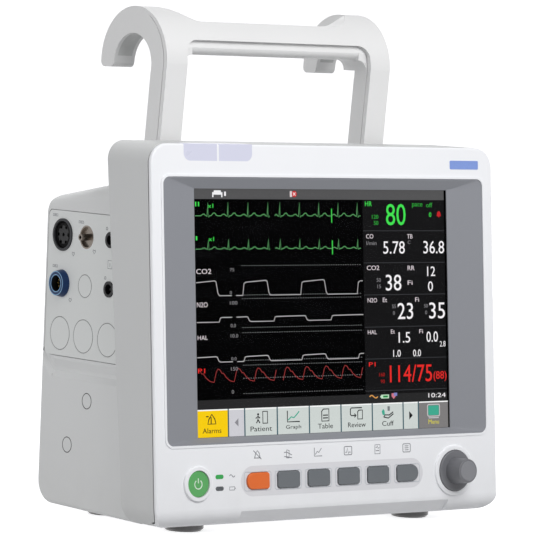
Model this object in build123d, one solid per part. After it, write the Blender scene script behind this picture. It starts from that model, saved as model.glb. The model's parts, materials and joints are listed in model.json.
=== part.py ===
from build123d import *
import math
import os

# Patient monitor: a tilted front section with the display and keys, a deeper rear housing with the
# sensor sockets on its left side, and a fixed carrying handle with two bed-rail hooks.
# Millimetres, +X to the right of someone facing the display, +Y to the rear, +Z up.
# Everything is drawn about the display's centre on the front plane. The last section moves it all so
# that the origin is at the bottom centre of the whole object.

# ---------------------------------------------------------------- front section
FRONT_TILT = 5.2            # the display leans back from the vertical, in degrees
BODY_WIDTH = 284.6
BODY_TOP = 107.0
BODY_BOTTOM = -135.4
BODY_CORNER = 13.0          # outline corners, seen from the front
CHIN_RADIUS = 11.0          # round lower front edge
WALL = 3.0
BACK_LEAN = 7.45            # the front section's back wall leans, in degrees
BACK_AT_ZERO = 43.9         # back wall's Y at the height of the display's centre
BACK_EDGE = 1.5             # rounding of the back wall's rim
BEZEL_THICKNESS = 2.6
BEZEL_EDGE = 1.2
SEAL_THICKNESS = 1.0
SEAL_INSET = 0.8
CREASE_V = -126.4           # crisp lower edge of the flat face
CREASE_LEFT = -75.0
CREASE_RIGHT = 99.0
CREASE_FOOT_Y = -4.0        # where the slanted chin face meets the bottom

# ---------------------------------------------------------------- display
DISPLAY_WIDTH = 211.2       # 10.4 inch, 4:3 active area
DISPLAY_HEIGHT = 158.4
DISPLAY_DEPTH = 5.1         # display surface behind the front plane
SURROUND_HALF_WIDTH = 133.4
SURROUND_TOP = 86.5
SURROUND_BOTTOM = -83.5
SURROUND_CORNER = 5.0
SURROUND_RIM = 0.8
SURROUND_LIP = 0.6          # upright edge against the window
BEZEL_LIP_WIDTH = 1.5
BEZEL_LIP_HEIGHT = 0.5
WINDOW_THICKNESS = 1.1
WINDOW_MARGIN = 4.0
PANEL_WIDTH = 236.0
PANEL_HEIGHT = 176.0
PANEL_THICKNESS = 7.7
PANEL_GAP = 0.3
BRACKET_THICKNESS = 1.2
BRACKET_WIDTH = 252.0
BRACKET_HEIGHT = 190.0

# ---------------------------------------------------------------- keys, knob and lamps
KEY_NAMES = ["mute", "nibp", "trend", "freeze", "record", "menu"]
KEY_PITCH = 25.0
KEY_ROW_V = -107.9
KEY_ROW_CENTRE = 0.9
KEY_WIDTH = 18.2
KEY_HEIGHT = 10.6
KEY_CORNER = 2.0
KEY_END_CORNER = 5.2
KEY_PROUD = 1.2
KEY_LENGTH = 9.0
KEY_FLANGE = 1.0
KEY_CLEARANCE = 0.25
STRIP_WIDTH = 152.4
STRIP_HEIGHT = 19.5
STRIP_THICKNESS = 0.8
MAT_THICKNESS = 1.4
MAT_LEFT = -123.0
MAT_RIGHT = 84.0
MAT_MARGIN = 2.0
BOARD_THICKNESS = 1.6
FLANGE_GAP = 0.3            # free room in front of a key's flange
POWER_U = -109.7
POWER_RADIUS = 8.35
POWER_RING_RADIUS = 11.4
POWER_RING_HEIGHT = 1.4
POWER_TRAVEL = 1.5
LED_U = -92.4
LED_V = [-104.1, -111.6]
LED_WIDTH = 6.4
LED_HEIGHT = 2.8
KNOB_U = 104.4
KNOB_COLLAR_RADIUS = 17.0
KNOB_COLLAR_HEIGHT = 1.2
KNOB_SKIRT_RADIUS = 13.6
KNOB_SKIRT_TOP = 2.2
KNOB_RADIUS = 8.8
KNOB_TIP_RADIUS = 7.9
KNOB_HEIGHT = 15.0
KNOB_TRAVEL = 0.8
KNOB_CAP_THICKNESS = 1.0
SHAFT_RADIUS = 3.0
SHAFT_CLEARANCE = 0.05
SHAFT_END = 14.0            # depth behind the front plane
SHAFT_TIP = 4.0             # the shaft ends this far under the knob's top
PLUNGER_LENGTH = 2.0
ENCODER_TOP = 10.5
ENCODER_DEPTH = 9.0
ENCODER_SIZE = 14.0
BUSHING_WALL = 1.6
NUT_SIZE = 7.0
NUT_THICKNESS = 2.4
LAMP_SPANS = [(-116.6, -90.1), (-88.6, -61.8)]
LAMP_BOTTOM = 96.6
LAMP_CORNER = 5.0
LAMP_DEPTH = 12.0
LAMP_WALL = 3.0

# ---------------------------------------------------------------- rear housing
REAR_WIDTH = 268.0
REAR_Y = 133.5
REAR_BOTTOM = -134.0
REAR_BOTTOM_DROP = 1.6      # the underside is this much lower at its front end
REAR_TOP_SLOPE = 9.9        # the top falls to the rear, in degrees
REAR_TOP_AT_REAR = 66.7
REAR_TOP_CORNER = 14.0
REAR_BOTTOM_CORNER = 15.0
REAR_EDGE = 3.0
REAR_TOP_EDGE = 9.0         # long rounding between the top and the sides
REAR_SEAT = 6.5             # the rear housing reaches this far into the front section
REAR_SCREW_PLACES = [(-108.0, 48.0), (108.0, 48.0), (-108.0, -40.0), (108.0, -40.0)]
SCREW_RADIUS = 3.6
SCREW_SHANK_RADIUS = 2.0
SCREW_LENGTH = 8.0
SCREW_RECESS = 0.4
CROSS_HALF_LENGTH = 2.4
CROSS_HALF_WIDTH = 0.5
CROSS_DEPTH = 1.2

# ---------------------------------------------------------------- left side: sensor sockets
PANEL_TOP_Z = 58.5
PANEL_BOTTOM_Z = -36.8
PANEL_REAR_Y = 130.0
PANEL_FRONT_GAP = 1.2
PANEL_CORNER = 4.0
PANEL_OUTLINE_GAP = 0.4
PANEL_FLANGE = 3.0
FLANGE_THICKNESS = 1.5
ROW_Z = [42.5, 10.8, -21.8]
COLUMN_Y = [113.0, 86.8, 60.0]
ECG_RADIUS = 10.6
ECG_PROUD = 1.0
ECG_PIN_CIRCLE = 5.6
NIBP_DISH_RADIUS = 7.65
NIBP_DISH_DEPTH = 2.0
NIBP_NIPPLE_RADIUS = 2.2
NIBP_BORE_RADIUS = 1.2
NIBP_PROUD = 5.0
SPO2_BASE_RADIUS = 9.0
SPO2_TIP_RADIUS = 8.0
SPO2_PROUD = 4.6
SPO2_BORE_RADIUS = 5.2
SPO2_BORE_DEPTH = 12.0
SPO2_INSERT_RADIUS = 4.8
SMALL_SOCKET_RADIUS = 5.2
SMALL_PLUG_RADIUS = 7.3
LARGE_PLUG_RADIUS = 10.7
SOCKET_DEPTH = 20.0
CAP_RADIUS = 5.0
CAP_PLACES = [(80.1, -63.2), (100.4, -93.6)]
TROUGH_TOP = -39.0
TROUGH_BOTTOM = -50.5
TROUGH_FLOOR_TOP = -44.0
TROUGH_FLOOR_BOTTOM = -46.6
TROUGH_DEPTH = 2.0
TROUGH_REAR_Y = 120.0

# ---------------------------------------------------------------- handle
HANDLE_HALF_WIDTH = 93.8
POST_INNER = 77.0
HOOK_Y = 97.5
HOOK_Z = 156.5
HOOK_OUTER = 36.5
HOOK_INNER_Y = 99.0
HOOK_INNER_Z = 154.5
HOOK_INNER = 20.8
HOOK_TIP_DROP = 4.0
HOOK_TIP_ROUND = 3.9
POST_LEAN = 4.9             # degrees
BAR_BOTTOM = 162.5
BAR_TOP = 184.5
BAR_CREASE = 172.3
BAR_REAR_Y = 90.0
BAR_GRIP_SETBACK = 1.6
BAR_ROUND = 6.0
BAR_CORNER = 7.0            # inner corners between the grip and the posts
COVER_CORNER = 9.0
COVER_THICKNESS = 3.4
COVER_END_Z = 187.0
COVER_GROOVE = 0.7
SHOULDER_INNER = 56.0
SHOULDER_OUTER = 81.0
PAD_THICKNESS = 2.0
PAD_INSET = 2.6
PAD_REACH = 5.5             # the pads start this far above the inner circle's centre
HANDLE_SCREW_RADIUS = 2.0
HANDLE_SCREW_HEAD = 2.9
HANDLE_SCREW_REACH = 11.0
HANDLE_SCREW_SPACING = 6.0

# ---------------------------------------------------------------- feet and underside
FOOT_BOTTOM = -141.5
FOOT_RADIUS = 13.0
FOOT_CHAMFER = 1.6
FOOT_RECESS = 2.4
FOOT_X = 94.8
FOOT_FRONT_Y = 23.3
FOOT_REAR_Y = 108.0
FOOT_SCREW_RADIUS = 3.4
BOLT_SPACING = 75.0
BOLT_CENTRE_Y = 77.5
INSERT_RADIUS = 3.2
INSERT_BORE = 1.65          # M4 tapping size
INSERT_LENGTH = 8.0
BOSS_RADIUS = 6.0

# ---------------------------------------------------------------- recorder, right side
RECORDER_Y0 = 62.0
RECORDER_Y1 = 122.0
RECORDER_Z0 = -54.0
RECORDER_Z1 = 22.0
RECORDER_DEPTH = 46.0
RECORDER_WALL = 2.0
DOOR_GAP = 0.5
RECORDER_DOOR_TOP = 1.0
PAPER_RADIUS = 17.0
PAPER_CORE_RADIUS = 6.0
PAPER_WIDTH = 50.0
PLATEN_RADIUS = 5.0
HINGE_PIN_RADIUS = 1.2
HINGE_CLEARANCE = 0.05
KNUCKLE_RADIUS = 2.6
PIN_END = 0.6
PAPER_SLOT = 2.0
PLATEN_X = 125.4
PLATEN_Z = -7.0
PLATEN_PIN_RADIUS = 1.5
PLATEN_PIN_REACH = 2.4
PLATEN_LUG = 3.5            # half size of the door's bearing lugs
PLATEN_LUG_THICKNESS = 2.0
ROLL_X = 109.5
ROLL_Z = -30.0
HEAD_THICKNESS = 2.5
HEAD_HALF_WIDTH = 26.0
HEAD_ARM_HALF_WIDTH = 6.0
RELEASE_Z = 12.5
RELEASE_HALF_WIDTH = 8.0
RELEASE_HALF_HEIGHT = 3.5
RELEASE_PROUD = 0.5
RELEASE_GAP = 0.25
RELEASE_LENGTH = 8.0

# ---------------------------------------------------------------- battery, rear left
BATTERY_X0 = -110.0
BATTERY_X1 = -30.0
BATTERY_Z0 = -108.0
BATTERY_Z1 = -60.0
BATTERY_LENGTH = 62.0
BATTERY_CLEARANCE = 2.0
BATTERY_END_GAP = 0.8
BATTERY_CORNER = 3.0
BAY_WALL = 1.5
NOTCH_RADIUS = 9.0          # finger notch in the door
NOTCH_DEPTH = 1.8

# ---------------------------------------------------------------- connector bay, rear right
BAY_X0 = 18.0
BAY_X1 = 122.0
BAY_Z0 = -116.0
BAY_Z1 = -56.0
BAY_DEPTH = 9.0
BAY_PLATE = 1.5
INLET_X = 96.0
INLET_Z = -92.0
INLET_WIDTH = 30.0
INLET_HEIGHT = 23.0
INLET_CAVITY_WIDTH = 24.0
INLET_CAVITY_HEIGHT = 16.4
INLET_CAVITY_DEPTH = 15.5
INLET_CHAMFER = 5.0
INLET_FLANGE = 3.0
INLET_BODY_HALF_WIDTH = 13.5
INLET_BODY_HALF_HEIGHT = 10.0
INLET_BODY_DEPTH = 17.0
INLET_PIN_PITCH = 7.0
INLET_PIN_LENGTH = 12.0
STUD_X = 66.0
STUD_RADIUS = 3.0           # 6 mm equipotential pin
STUD_SHANK_RADIUS = 4.0
STUD_LENGTH = 8.0
STUD_NUT_RADIUS = 7.0
STUD_NUT_THICKNESS = 3.0
NETWORK_X = 40.0
NETWORK_Z = -76.0
NETWORK_SIZE = 15.0
NETWORK_DEPTH = 14.0
NETWORK_PROUD = 0.6
NETWORK_HOLE_HALF_WIDTH = 5.9
NETWORK_HOLE_LOW = -4.5
NETWORK_HOLE_HIGH = 3.5
NETWORK_HOLE_DEPTH = 11.0
VENT_COUNT = 9
VENT_PITCH = 8.0
VENT_WIDTH = 3.0
VENT_HEIGHT = 42.0
VENT_Z = 15.0

# ---------------------------------------------------------------- inside
CHASSIS_SHEET = 1.2
CHASSIS_Y = 46.0
CHASSIS_HALF = 120.0
CHASSIS_TOP = 60.0
CHASSIS_END_Y = 118.0
BOARD_Y = 52.0
BOARD_X = (-100.0, 70.0)
BOARD_Z = (-50.0, 55.0)
BOARD_POSTS_X = (-90, 60)
BOARD_POSTS_Z = (-45, 50)
SUPPLY_X = (20.0, 76.0)
SUPPLY_Y = (54.0, 104.0)
SUPPLY_HEIGHT = 56.0
SPEAKER_X = -6.0
SPEAKER_Y = 88.0
SPEAKER_RADII = (18.0, 11.0)
SPEAKER_HEIGHT = 16.0
SENSOR_BOARD_Y = (58.0, 126.0)
SENSOR_BOARD_Z = (-33.0, 56.0)
PUMP_X = -72.0
PUMP_RADIUS = 15.0
PUMP_MOTOR_RADIUS = 11.0
PUMP_NOZZLE_RADIUS = 2.5
PUMP_Y = (64.0, 70.0, 104.0, 122.0)

# ---------------------------------------------------------------- derived values
SIN = math.sin(math.radians(FRONT_TILT))
COS = math.cos(math.radians(FRONT_TILT))
HALF = BODY_WIDTH / 2
SIDE = REAR_WIDTH / 2
FRONT = Plane(origin=(0, 0, 0), x_dir=(1, 0, 0), z_dir=(0, -COS, SIN)).location
BODY_FRONT_DEPTH = BEZEL_THICKNESS + SEAL_THICKNESS
PANEL_DEPTH = DISPLAY_DEPTH + WINDOW_THICKNESS + PANEL_GAP
MAT_TOP = KEY_LENGTH - KEY_PROUD + POWER_TRAVEL + 0.4
RECORDER_MIDDLE = (RECORDER_Y0 + RECORDER_Y1) / 2
RECORDER_AXIS_X = SIDE - KNUCKLE_RADIUS
RECORDER_AXIS_Z = RECORDER_Z0 + RECORDER_WALL + DOOR_GAP + KNUCKLE_RADIUS
BATTERY_AXIS_X = BATTERY_X0 + DOOR_GAP + KNUCKLE_RADIUS
BATTERY_AXIS_Y = REAR_Y - KNUCKLE_RADIUS
BAY_FLOOR_Y = REAR_Y - BAY_DEPTH
CHASSIS_FLOOR = REAR_BOTTOM + INSERT_LENGTH
KEY_U = [KEY_ROW_CENTRE + (i - 2.5) * KEY_PITCH for i in range(6)]


def block(x0, x1, y0, y1, z0, z1):
    """Box between two corners."""
    return Pos((x0 + x1) / 2, (y0 + y1) / 2, (z0 + z1) / 2) * Box(x1 - x0, y1 - y0, z1 - z0)


def rod(radius, w0, w1, u=0.0, v=0.0):
    """Cylinder along local Z, from w0 to w1."""
    return Pos(u, v, (w0 + w1) / 2) * Cylinder(radius, w1 - w0)


def rod_x(radius, x0, x1, y, z):
    """Cylinder along X."""
    return Pos((x0 + x1) / 2, y, z) * Rot(0, 90, 0) * Cylinder(radius, x1 - x0)


def rod_y(radius, y0, y1, x, z):
    """Cylinder along Y."""
    return Pos(x, (y0 + y1) / 2, z) * Rot(90, 0, 0) * Cylinder(radius, y1 - y0)


def pad(width, height, radius, w0, w1, u=0.0, v=0.0):
    """Rounded rectangle drawn from w0 to w1 along local Z."""
    return Pos(u, v, w0) * extrude(RectangleRounded(width, height, radius), w1 - w0)


def capsule(width, height, w0, w1, u=0.0, v=0.0):
    """Slot with round ends drawn from w0 to w1 along local Z."""
    return Pos(u, v, w0) * extrude(SlotOverall(width, height), w1 - w0)


def outline(points, radii):
    """Closed outline through the points, each corner rounded by its own radius."""
    face = Polygon(*points, align=None)
    for point, radius in zip(points, radii):
        if radius > 0:
            corner = face.vertices().sort_by_distance(Vector(point[0], point[1], 0))[0]
            face = fillet(corner, radius)
    return face


def across(face, x0, x1):
    """Draws an outline given in (Y, Z) from x0 to x1."""
    plane = Plane(origin=(x0, 0, 0), x_dir=(0, 1, 0), z_dir=(1, 0, 0))
    return extrude(plane * face, x1 - x0, dir=(1, 0, 0))


def along_y(face, y0, y1):
    """Draws an outline given in (X, Z) from y0 to y1."""
    plane = Plane(origin=(0, y0, 0), x_dir=(1, 0, 0), z_dir=(0, -1, 0))
    return extrude(plane * face, y1 - y0, dir=(0, 1, 0))


def on_front(shape):
    """Places a piece drawn in the front plane's own axes."""
    return FRONT * shape


def front_y(depth, z):
    """Y of the plane that lies a given depth behind the front plane, at height z."""
    return (depth + SIN * z) / COS


def back_y(z, inset=0.0):
    """Y of the front section's back wall at height z, drawn in by an inset."""
    lean = math.radians(BACK_LEAN)
    return BACK_AT_ZERO + z * math.tan(lean) - inset / math.cos(lean)


def rear_top_z(y, inset=0.0):
    """Height of the rear housing's sloping top at y, drawn in by an inset."""
    slope = math.radians(REAR_TOP_SLOPE)
    return REAR_TOP_AT_REAR + (REAR_Y - y) * math.tan(slope) - inset / math.cos(slope)


def one(shape):
    """The largest solid of a boolean result."""
    return shape.solids().sort_by(SortBy.VOLUME)[-1]


def fused(shape):
    """One solid from solids that meet face to face."""
    first, *rest = shape.solids()
    return one(first.fuse(*rest)) if rest else first


# ---------------------------------------------------------------- front section
def front_outline(inset, y0, y1):
    """The front section's rounded outline, drawn along Y."""
    width = BODY_WIDTH - 2 * inset
    height = BODY_TOP - BODY_BOTTOM - 2 * inset
    face = Pos(0, (BODY_TOP + BODY_BOTTOM) / 2) * RectangleRounded(width, height, BODY_CORNER - inset)
    return along_y(face, y0, y1)


def behind(depth, inset=0.0):
    """Everything of the front section that lies at least this depth behind its front surface."""
    radius = CHIN_RADIUS - depth
    centre_z = BODY_BOTTOM + CHIN_RADIUS
    centre_y = front_y(CHIN_RADIUS, centre_z)
    low = BODY_BOTTOM + inset
    high = BODY_TOP - inset
    start = (front_y(depth, high), high)
    tangent = (centre_y - radius * COS, centre_z + radius * SIN)
    middle_angle = math.radians(225 - FRONT_TILT / 2)
    middle = (centre_y + radius * math.cos(middle_angle), centre_z + radius * math.sin(middle_angle))
    below = (centre_y, centre_z - radius)
    edges = [Line(start, tangent), ThreePointArc(tangent, middle, below)]
    corner = below
    if abs(below[1] - low) > 0.01:
        corner = (centre_y, low)
        edges.append(Line(below, corner))
    edges.append(Line(corner, (back_y(low, inset), low)))
    edges.append(Line((back_y(low, inset), low), (back_y(high, inset), high)))
    edges.append(Line((back_y(high, inset), high), start))
    return across(make_face(edges), -HALF, HALF)


def full_front_body(depth, inset=0.0):
    """Front section as a solid, from a given depth behind its front surface."""
    return front_outline(inset, -40, 90) & behind(depth)


def front_top_v():
    """Height of the front plane's upper edge, along the plane."""
    return BODY_TOP / COS


def surround_tool(grow, w0, w1):
    """Rounded rectangle of the display surround, in the front plane's axes."""
    width = 2 * (SURROUND_HALF_WIDTH + grow)
    height = SURROUND_TOP - SURROUND_BOTTOM + 2 * grow
    return pad(width, height, SURROUND_CORNER + grow, w0, w1, 0, (SURROUND_TOP + SURROUND_BOTTOM) / 2)


def lamp_tool(span):
    """Space of one alarm lamp: over the top edge, with its outer lower corner rounded."""
    u0, u1 = span
    outer = u0 if span is LAMP_SPANS[0] else u1
    top = BODY_TOP + 20
    points = [(u0, LAMP_BOTTOM), (u1, LAMP_BOTTOM), (u1, top), (u0, top)]
    radii = [LAMP_CORNER if u == outer and v == LAMP_BOTTOM else 0 for u, v in points]
    return on_front(Pos(0, 0, -LAMP_DEPTH) * extrude(outline(points, radii), LAMP_DEPTH + 10, dir=(0, 0, 1)))


def key_shape(index, grow, w0, w1):
    """Rounded key section; the first and last keys have a rounder outer end."""
    u = KEY_U[index]
    half_w = KEY_WIDTH / 2 + grow
    half_h = KEY_HEIGHT / 2 + grow
    points = [(u - half_w, KEY_ROW_V - half_h), (u + half_w, KEY_ROW_V - half_h),
              (u + half_w, KEY_ROW_V + half_h), (u - half_w, KEY_ROW_V + half_h)]
    round_end = KEY_END_CORNER + grow - 0.1
    left = round_end if index == 0 else KEY_CORNER + grow
    right = round_end if index == len(KEY_NAMES) - 1 else KEY_CORNER + grow
    return Pos(0, 0, w0) * extrude(outline(points, [left, right, right, left]), w1 - w0, dir=(0, 0, 1))


def make_bezel():
    top_v = front_top_v()
    low_v = BODY_BOTTOM - BODY_CORNER * 3
    plate = pad(BODY_WIDTH, top_v - low_v, BODY_CORNER, -2 * CHIN_RADIUS, 0, 0, (top_v + low_v) / 2)
    plate = fillet(plate.faces().sort_by(Axis.Z)[-1].edges(), BEZEL_EDGE)
    body = (on_front(plate) & full_front_body(0)) - behind(BEZEL_THICKNESS)
    lip = surround_tool(BEZEL_LIP_WIDTH, -BEZEL_THICKNESS, BEZEL_LIP_HEIGHT)
    ring = rod(POWER_RING_RADIUS, -BEZEL_THICKNESS, POWER_RING_HEIGHT, POWER_U, KEY_ROW_V)
    collar = rod(KNOB_COLLAR_RADIUS, -BEZEL_THICKNESS, KNOB_COLLAR_HEIGHT, KNOB_U, KEY_ROW_V)
    ring = fillet(ring.edges().sort_by(Axis.Z)[-1], 1.0)
    collar = fillet(collar.edges().sort_by(Axis.Z)[-1], 0.9)
    bezel = body + on_front(lip) + on_front(ring) + on_front(collar)
    cuts = [surround_tool(0, -20, 20)]
    cuts += [key_shape(i, KEY_CLEARANCE, -20, 20) for i in range(len(KEY_NAMES))]
    cuts.append(capsule(STRIP_WIDTH, STRIP_HEIGHT, -STRIP_THICKNESS, 5, KEY_ROW_CENTRE, KEY_ROW_V))
    cuts.append(rod(POWER_RADIUS + KEY_CLEARANCE, -20, 20, POWER_U, KEY_ROW_V))
    cuts += [capsule(LED_WIDTH, LED_HEIGHT, -20, 20, LED_U, v) for v in LED_V]
    cuts.append(rod(KNOB_SKIRT_RADIUS + 0.4, -1.2, 20, KNOB_U, KEY_ROW_V))
    cuts.append(rod(SHAFT_RADIUS + BUSHING_WALL, -20, 20, KNOB_U, KEY_ROW_V))
    for cut in cuts:
        bezel = bezel - on_front(cut)
    crease = (front_y(0, CREASE_V * COS), CREASE_V * COS)
    foot = (CREASE_FOOT_Y, BODY_BOTTOM)
    far = 30
    wedge = Polygon(crease, foot, (foot[0], foot[1] - far), (crease[0] - far, crease[1]), align=None)
    bezel = bezel - across(wedge, CREASE_LEFT, CREASE_RIGHT)
    for span in LAMP_SPANS:
        bezel = bezel - lamp_tool(span)
    return one(bezel)


def make_seal():
    outer = full_front_body(BEZEL_THICKNESS) - behind(BODY_FRONT_DEPTH)
    outer = outer & front_outline(SEAL_INSET, -40, 90)
    seal = outer - front_outline(SEAL_INSET + WALL, -40, 90)
    for span in LAMP_SPANS:
        seal = seal - lamp_tool(span)
    return one(seal)


def make_rear_block(inset=0.0, reach=0.0):
    """The rear housing's outer form, drawn in by an inset and reaching forward."""
    y_rear = REAR_Y - inset
    low = REAR_BOTTOM + inset
    forward = REAR_SEAT + reach
    top_y = back_y(rear_top_z(back_y(0)), forward)
    low_front = low - REAR_BOTTOM_DROP
    points = [(top_y, rear_top_z(top_y, inset)), (y_rear, rear_top_z(y_rear, inset)),
              (y_rear, low), (back_y(low_front, forward), low_front)]
    face = outline(points, [0, REAR_TOP_CORNER - inset, REAR_BOTTOM_CORNER - inset, 0])
    solid = across(face, inset - SIDE, SIDE - inset)
    if inset == 0:
        ends = solid.faces().filter_by(Axis.X)
        rims = [e for f in ends for e in f.edges() if not on_front_edge(e)]
        solid = fillet(rims, REAR_EDGE)
    drop = 2 * (REAR_Y - REAR_BOTTOM)
    top_face = Pos(0, -inset - drop / 2) * RectangleRounded(2 * (SIDE - inset), drop, REAR_TOP_EDGE - inset)
    roof = Pos(0, REAR_Y, REAR_TOP_AT_REAR) * Rot(-REAR_TOP_SLOPE, 0, 0) * along_y(top_face, -drop, drop)
    return one(solid & roof)


def on_front_edge(edge):
    """Whether an edge lies along the rear housing's open front."""
    middle = edge.center()
    return abs(middle.Y - back_y(middle.Z, REAR_SEAT)) < 1.0 and abs(edge.tangent_at(0.5).Z) > 0.5


def make_front_housing(rear_block):
    outer = full_front_body(BODY_FRONT_DEPTH)
    back = outer.faces().sort_by(Axis.Y)[-1]
    outer = fillet(back.edges(), BACK_EDGE)
    cavity_points = [(front_y(-20, BODY_TOP), BODY_TOP - WALL),
                     (back_y(BODY_TOP - WALL, WALL), BODY_TOP - WALL),
                     (back_y(BODY_BOTTOM + WALL, WALL), BODY_BOTTOM + WALL),
                     (front_y(-20, BODY_BOTTOM), BODY_BOTTOM + WALL)]
    cavity = across(Polygon(*cavity_points, align=None), WALL - HALF, HALF - WALL)
    cavity = cavity & front_outline(WALL, -60, 90)
    chin_y = front_y(CHIN_RADIUS, BODY_BOTTOM) + 1
    chin_points = [(-40, BODY_BOTTOM + CHIN_RADIUS + 4), (-40, BODY_BOTTOM - 5),
                   (chin_y, BODY_BOTTOM - 5), (chin_y, BODY_BOTTOM + CHIN_RADIUS)]
    chin = across(Polygon(*chin_points, align=None), -HALF, HALF)
    cavity = cavity - chin
    shell = outer - cavity - rear_block
    for span in LAMP_SPANS:
        shell = shell - lamp_tool(span)
    return one(shell)


def make_display_surround():
    height = SURROUND_TOP - SURROUND_BOTTOM
    middle_v = (SURROUND_TOP + SURROUND_BOTTOM) / 2
    back = DISPLAY_DEPTH + WINDOW_THICKNESS
    body = surround_tool(0, -back, 0)
    rim_width = 2 * (SURROUND_HALF_WIDTH - SURROUND_RIM)
    rim = RectangleRounded(rim_width, height - 2 * SURROUND_RIM, SURROUND_CORNER - SURROUND_RIM)
    opening = RectangleRounded(DISPLAY_WIDTH, DISPLAY_HEIGHT, 0.8)
    funnel = loft([Pos(0, middle_v, 0.01) * rim, Pos(0, 0, SURROUND_LIP - DISPLAY_DEPTH) * opening])
    window_width = DISPLAY_WIDTH + 2 * WINDOW_MARGIN
    window_height = DISPLAY_HEIGHT + 2 * WINDOW_MARGIN - 0.4
    window_room = Pos(0, 0, -back) * Box(window_width, window_height, 2 * WINDOW_THICKNESS)
    through = Box(DISPLAY_WIDTH, DISPLAY_HEIGHT, 4 * back)
    return on_front(one(body - funnel - window_room - through))


def plate_on_front(width, height, thickness, top, u=0.0, v=0.0):
    """Flat plate behind the front plane, its front face at depth top."""
    return on_front(Pos(u, v, -top - thickness / 2) * Box(width, height, thickness))


def make_display_window():
    return plate_on_front(DISPLAY_WIDTH + 2 * WINDOW_MARGIN, DISPLAY_HEIGHT + 2 * WINDOW_MARGIN - 0.4,
                          WINDOW_THICKNESS, DISPLAY_DEPTH)


def make_display_bracket(top):
    plate = Pos(0, 0, -top - BRACKET_THICKNESS / 2) * Box(BRACKET_WIDTH, BRACKET_HEIGHT, BRACKET_THICKNESS)
    plate = plate - Pos(0, 0, -top) * Box(BRACKET_WIDTH - 100, BRACKET_HEIGHT - 100, 10)
    for u in (-BRACKET_WIDTH / 2 + 4, BRACKET_WIDTH / 2 - 4):
        for v in (-70, 0, 70):
            plate = plate + rod(3.0, -top, -DISPLAY_DEPTH - WINDOW_THICKNESS, u, v)
    return on_front(plate)


def make_key(index):
    cap = key_shape(index, 0, KEY_PROUD - KEY_LENGTH, KEY_PROUD)
    cap = fillet(cap.faces().sort_by(Axis.Z)[-1].edges(), 0.6)
    flange_top = -BEZEL_THICKNESS - FLANGE_GAP
    return on_front(cap + key_shape(index, KEY_FLANGE, flange_top - KEY_FLANGE, flange_top))


def make_power_button():
    cap = rod(POWER_RADIUS, KEY_PROUD - KEY_LENGTH, 0.6, POWER_U, KEY_ROW_V)
    cap = fillet(cap.edges().sort_by(Axis.Z)[-1], 0.5)
    flange_top = -BEZEL_THICKNESS - FLANGE_GAP
    flange = rod(POWER_RADIUS + KEY_FLANGE, flange_top - KEY_FLANGE, flange_top, POWER_U, KEY_ROW_V)
    return on_front(cap + flange)


def make_key_strip():
    strip = capsule(STRIP_WIDTH, STRIP_HEIGHT, -STRIP_THICKNESS, 0, KEY_ROW_CENTRE, KEY_ROW_V)
    for i in range(len(KEY_NAMES)):
        strip = strip - key_shape(i, KEY_CLEARANCE, -5, 5)
    return on_front(strip)


def make_keypad_mat():
    return plate_on_front(MAT_RIGHT - MAT_LEFT, STRIP_HEIGHT + 2 * MAT_MARGIN, MAT_THICKNESS, MAT_TOP,
                          (MAT_LEFT + MAT_RIGHT) / 2, KEY_ROW_V)


def make_keypad_board():
    return plate_on_front(MAT_RIGHT - MAT_LEFT, STRIP_HEIGHT + 2 * MAT_MARGIN, BOARD_THICKNESS,
                          MAT_TOP + MAT_THICKNESS, (MAT_LEFT + MAT_RIGHT) / 2, KEY_ROW_V)


def make_led_window(v):
    return on_front(capsule(LED_WIDTH, LED_HEIGHT, -MAT_TOP, 0.1, LED_U, v))


def make_knob():
    skirt = rod(KNOB_SKIRT_RADIUS, 0.4, KNOB_SKIRT_TOP)
    skirt = fillet(skirt.edges().sort_by(Axis.Z)[-1], 0.9)
    grip = Pos(0, 0, (1.0 + KNOB_HEIGHT - 0.4) / 2) * Cone(KNOB_RADIUS, KNOB_TIP_RADIUS, KNOB_HEIGHT - 1.4)
    grip = fillet(grip.edges().sort_by(Axis.Z)[-1], 0.8)
    knob = skirt + grip - rod(KNOB_TIP_RADIUS - 1.3, KNOB_HEIGHT - 0.4 - KNOB_CAP_THICKNESS, KNOB_HEIGHT + 1)
    knob = knob - rod(SHAFT_RADIUS, -1, KNOB_HEIGHT - SHAFT_TIP)
    return on_front(Pos(KNOB_U, KEY_ROW_V, 0) * knob)


def make_knob_cap():
    cap = rod(KNOB_TIP_RADIUS - 1.3, KNOB_HEIGHT - 0.4 - KNOB_CAP_THICKNESS, KNOB_HEIGHT, KNOB_U, KEY_ROW_V)
    return on_front(fillet(cap.edges().sort_by(Axis.Z)[-1], 0.4))


def make_encoder_shaft():
    return on_front(rod(SHAFT_RADIUS, -SHAFT_END, KNOB_HEIGHT - SHAFT_TIP, KNOB_U, KEY_ROW_V))


def make_encoder_plunger():
    return on_front(rod(SHAFT_RADIUS - 0.6, -SHAFT_END - PLUNGER_LENGTH, -SHAFT_END, KNOB_U, KEY_ROW_V))


def make_encoder_body():
    case = Pos(0, 0, -ENCODER_TOP - ENCODER_DEPTH / 2) * Box(ENCODER_SIZE, ENCODER_SIZE, ENCODER_DEPTH)
    bushing = rod(SHAFT_RADIUS + BUSHING_WALL, -ENCODER_TOP, -1.4)
    bore = rod(SHAFT_RADIUS + SHAFT_CLEARANCE, -SHAFT_END - PLUNGER_LENGTH - KNOB_TRAVEL - 0.4, 5)
    return on_front(Pos(KNOB_U, KEY_ROW_V, 0) * (case + bushing - bore))


def make_encoder_nut():
    hexagon = extrude(RegularPolygon(NUT_SIZE, 6), NUT_THICKNESS, dir=(0, 0, 1))
    nut = Pos(0, 0, -BEZEL_THICKNESS - NUT_THICKNESS) * hexagon - rod(SHAFT_RADIUS + BUSHING_WALL, -20, 5)
    return on_front(Pos(KNOB_U, KEY_ROW_V, 0) * nut)


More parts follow.
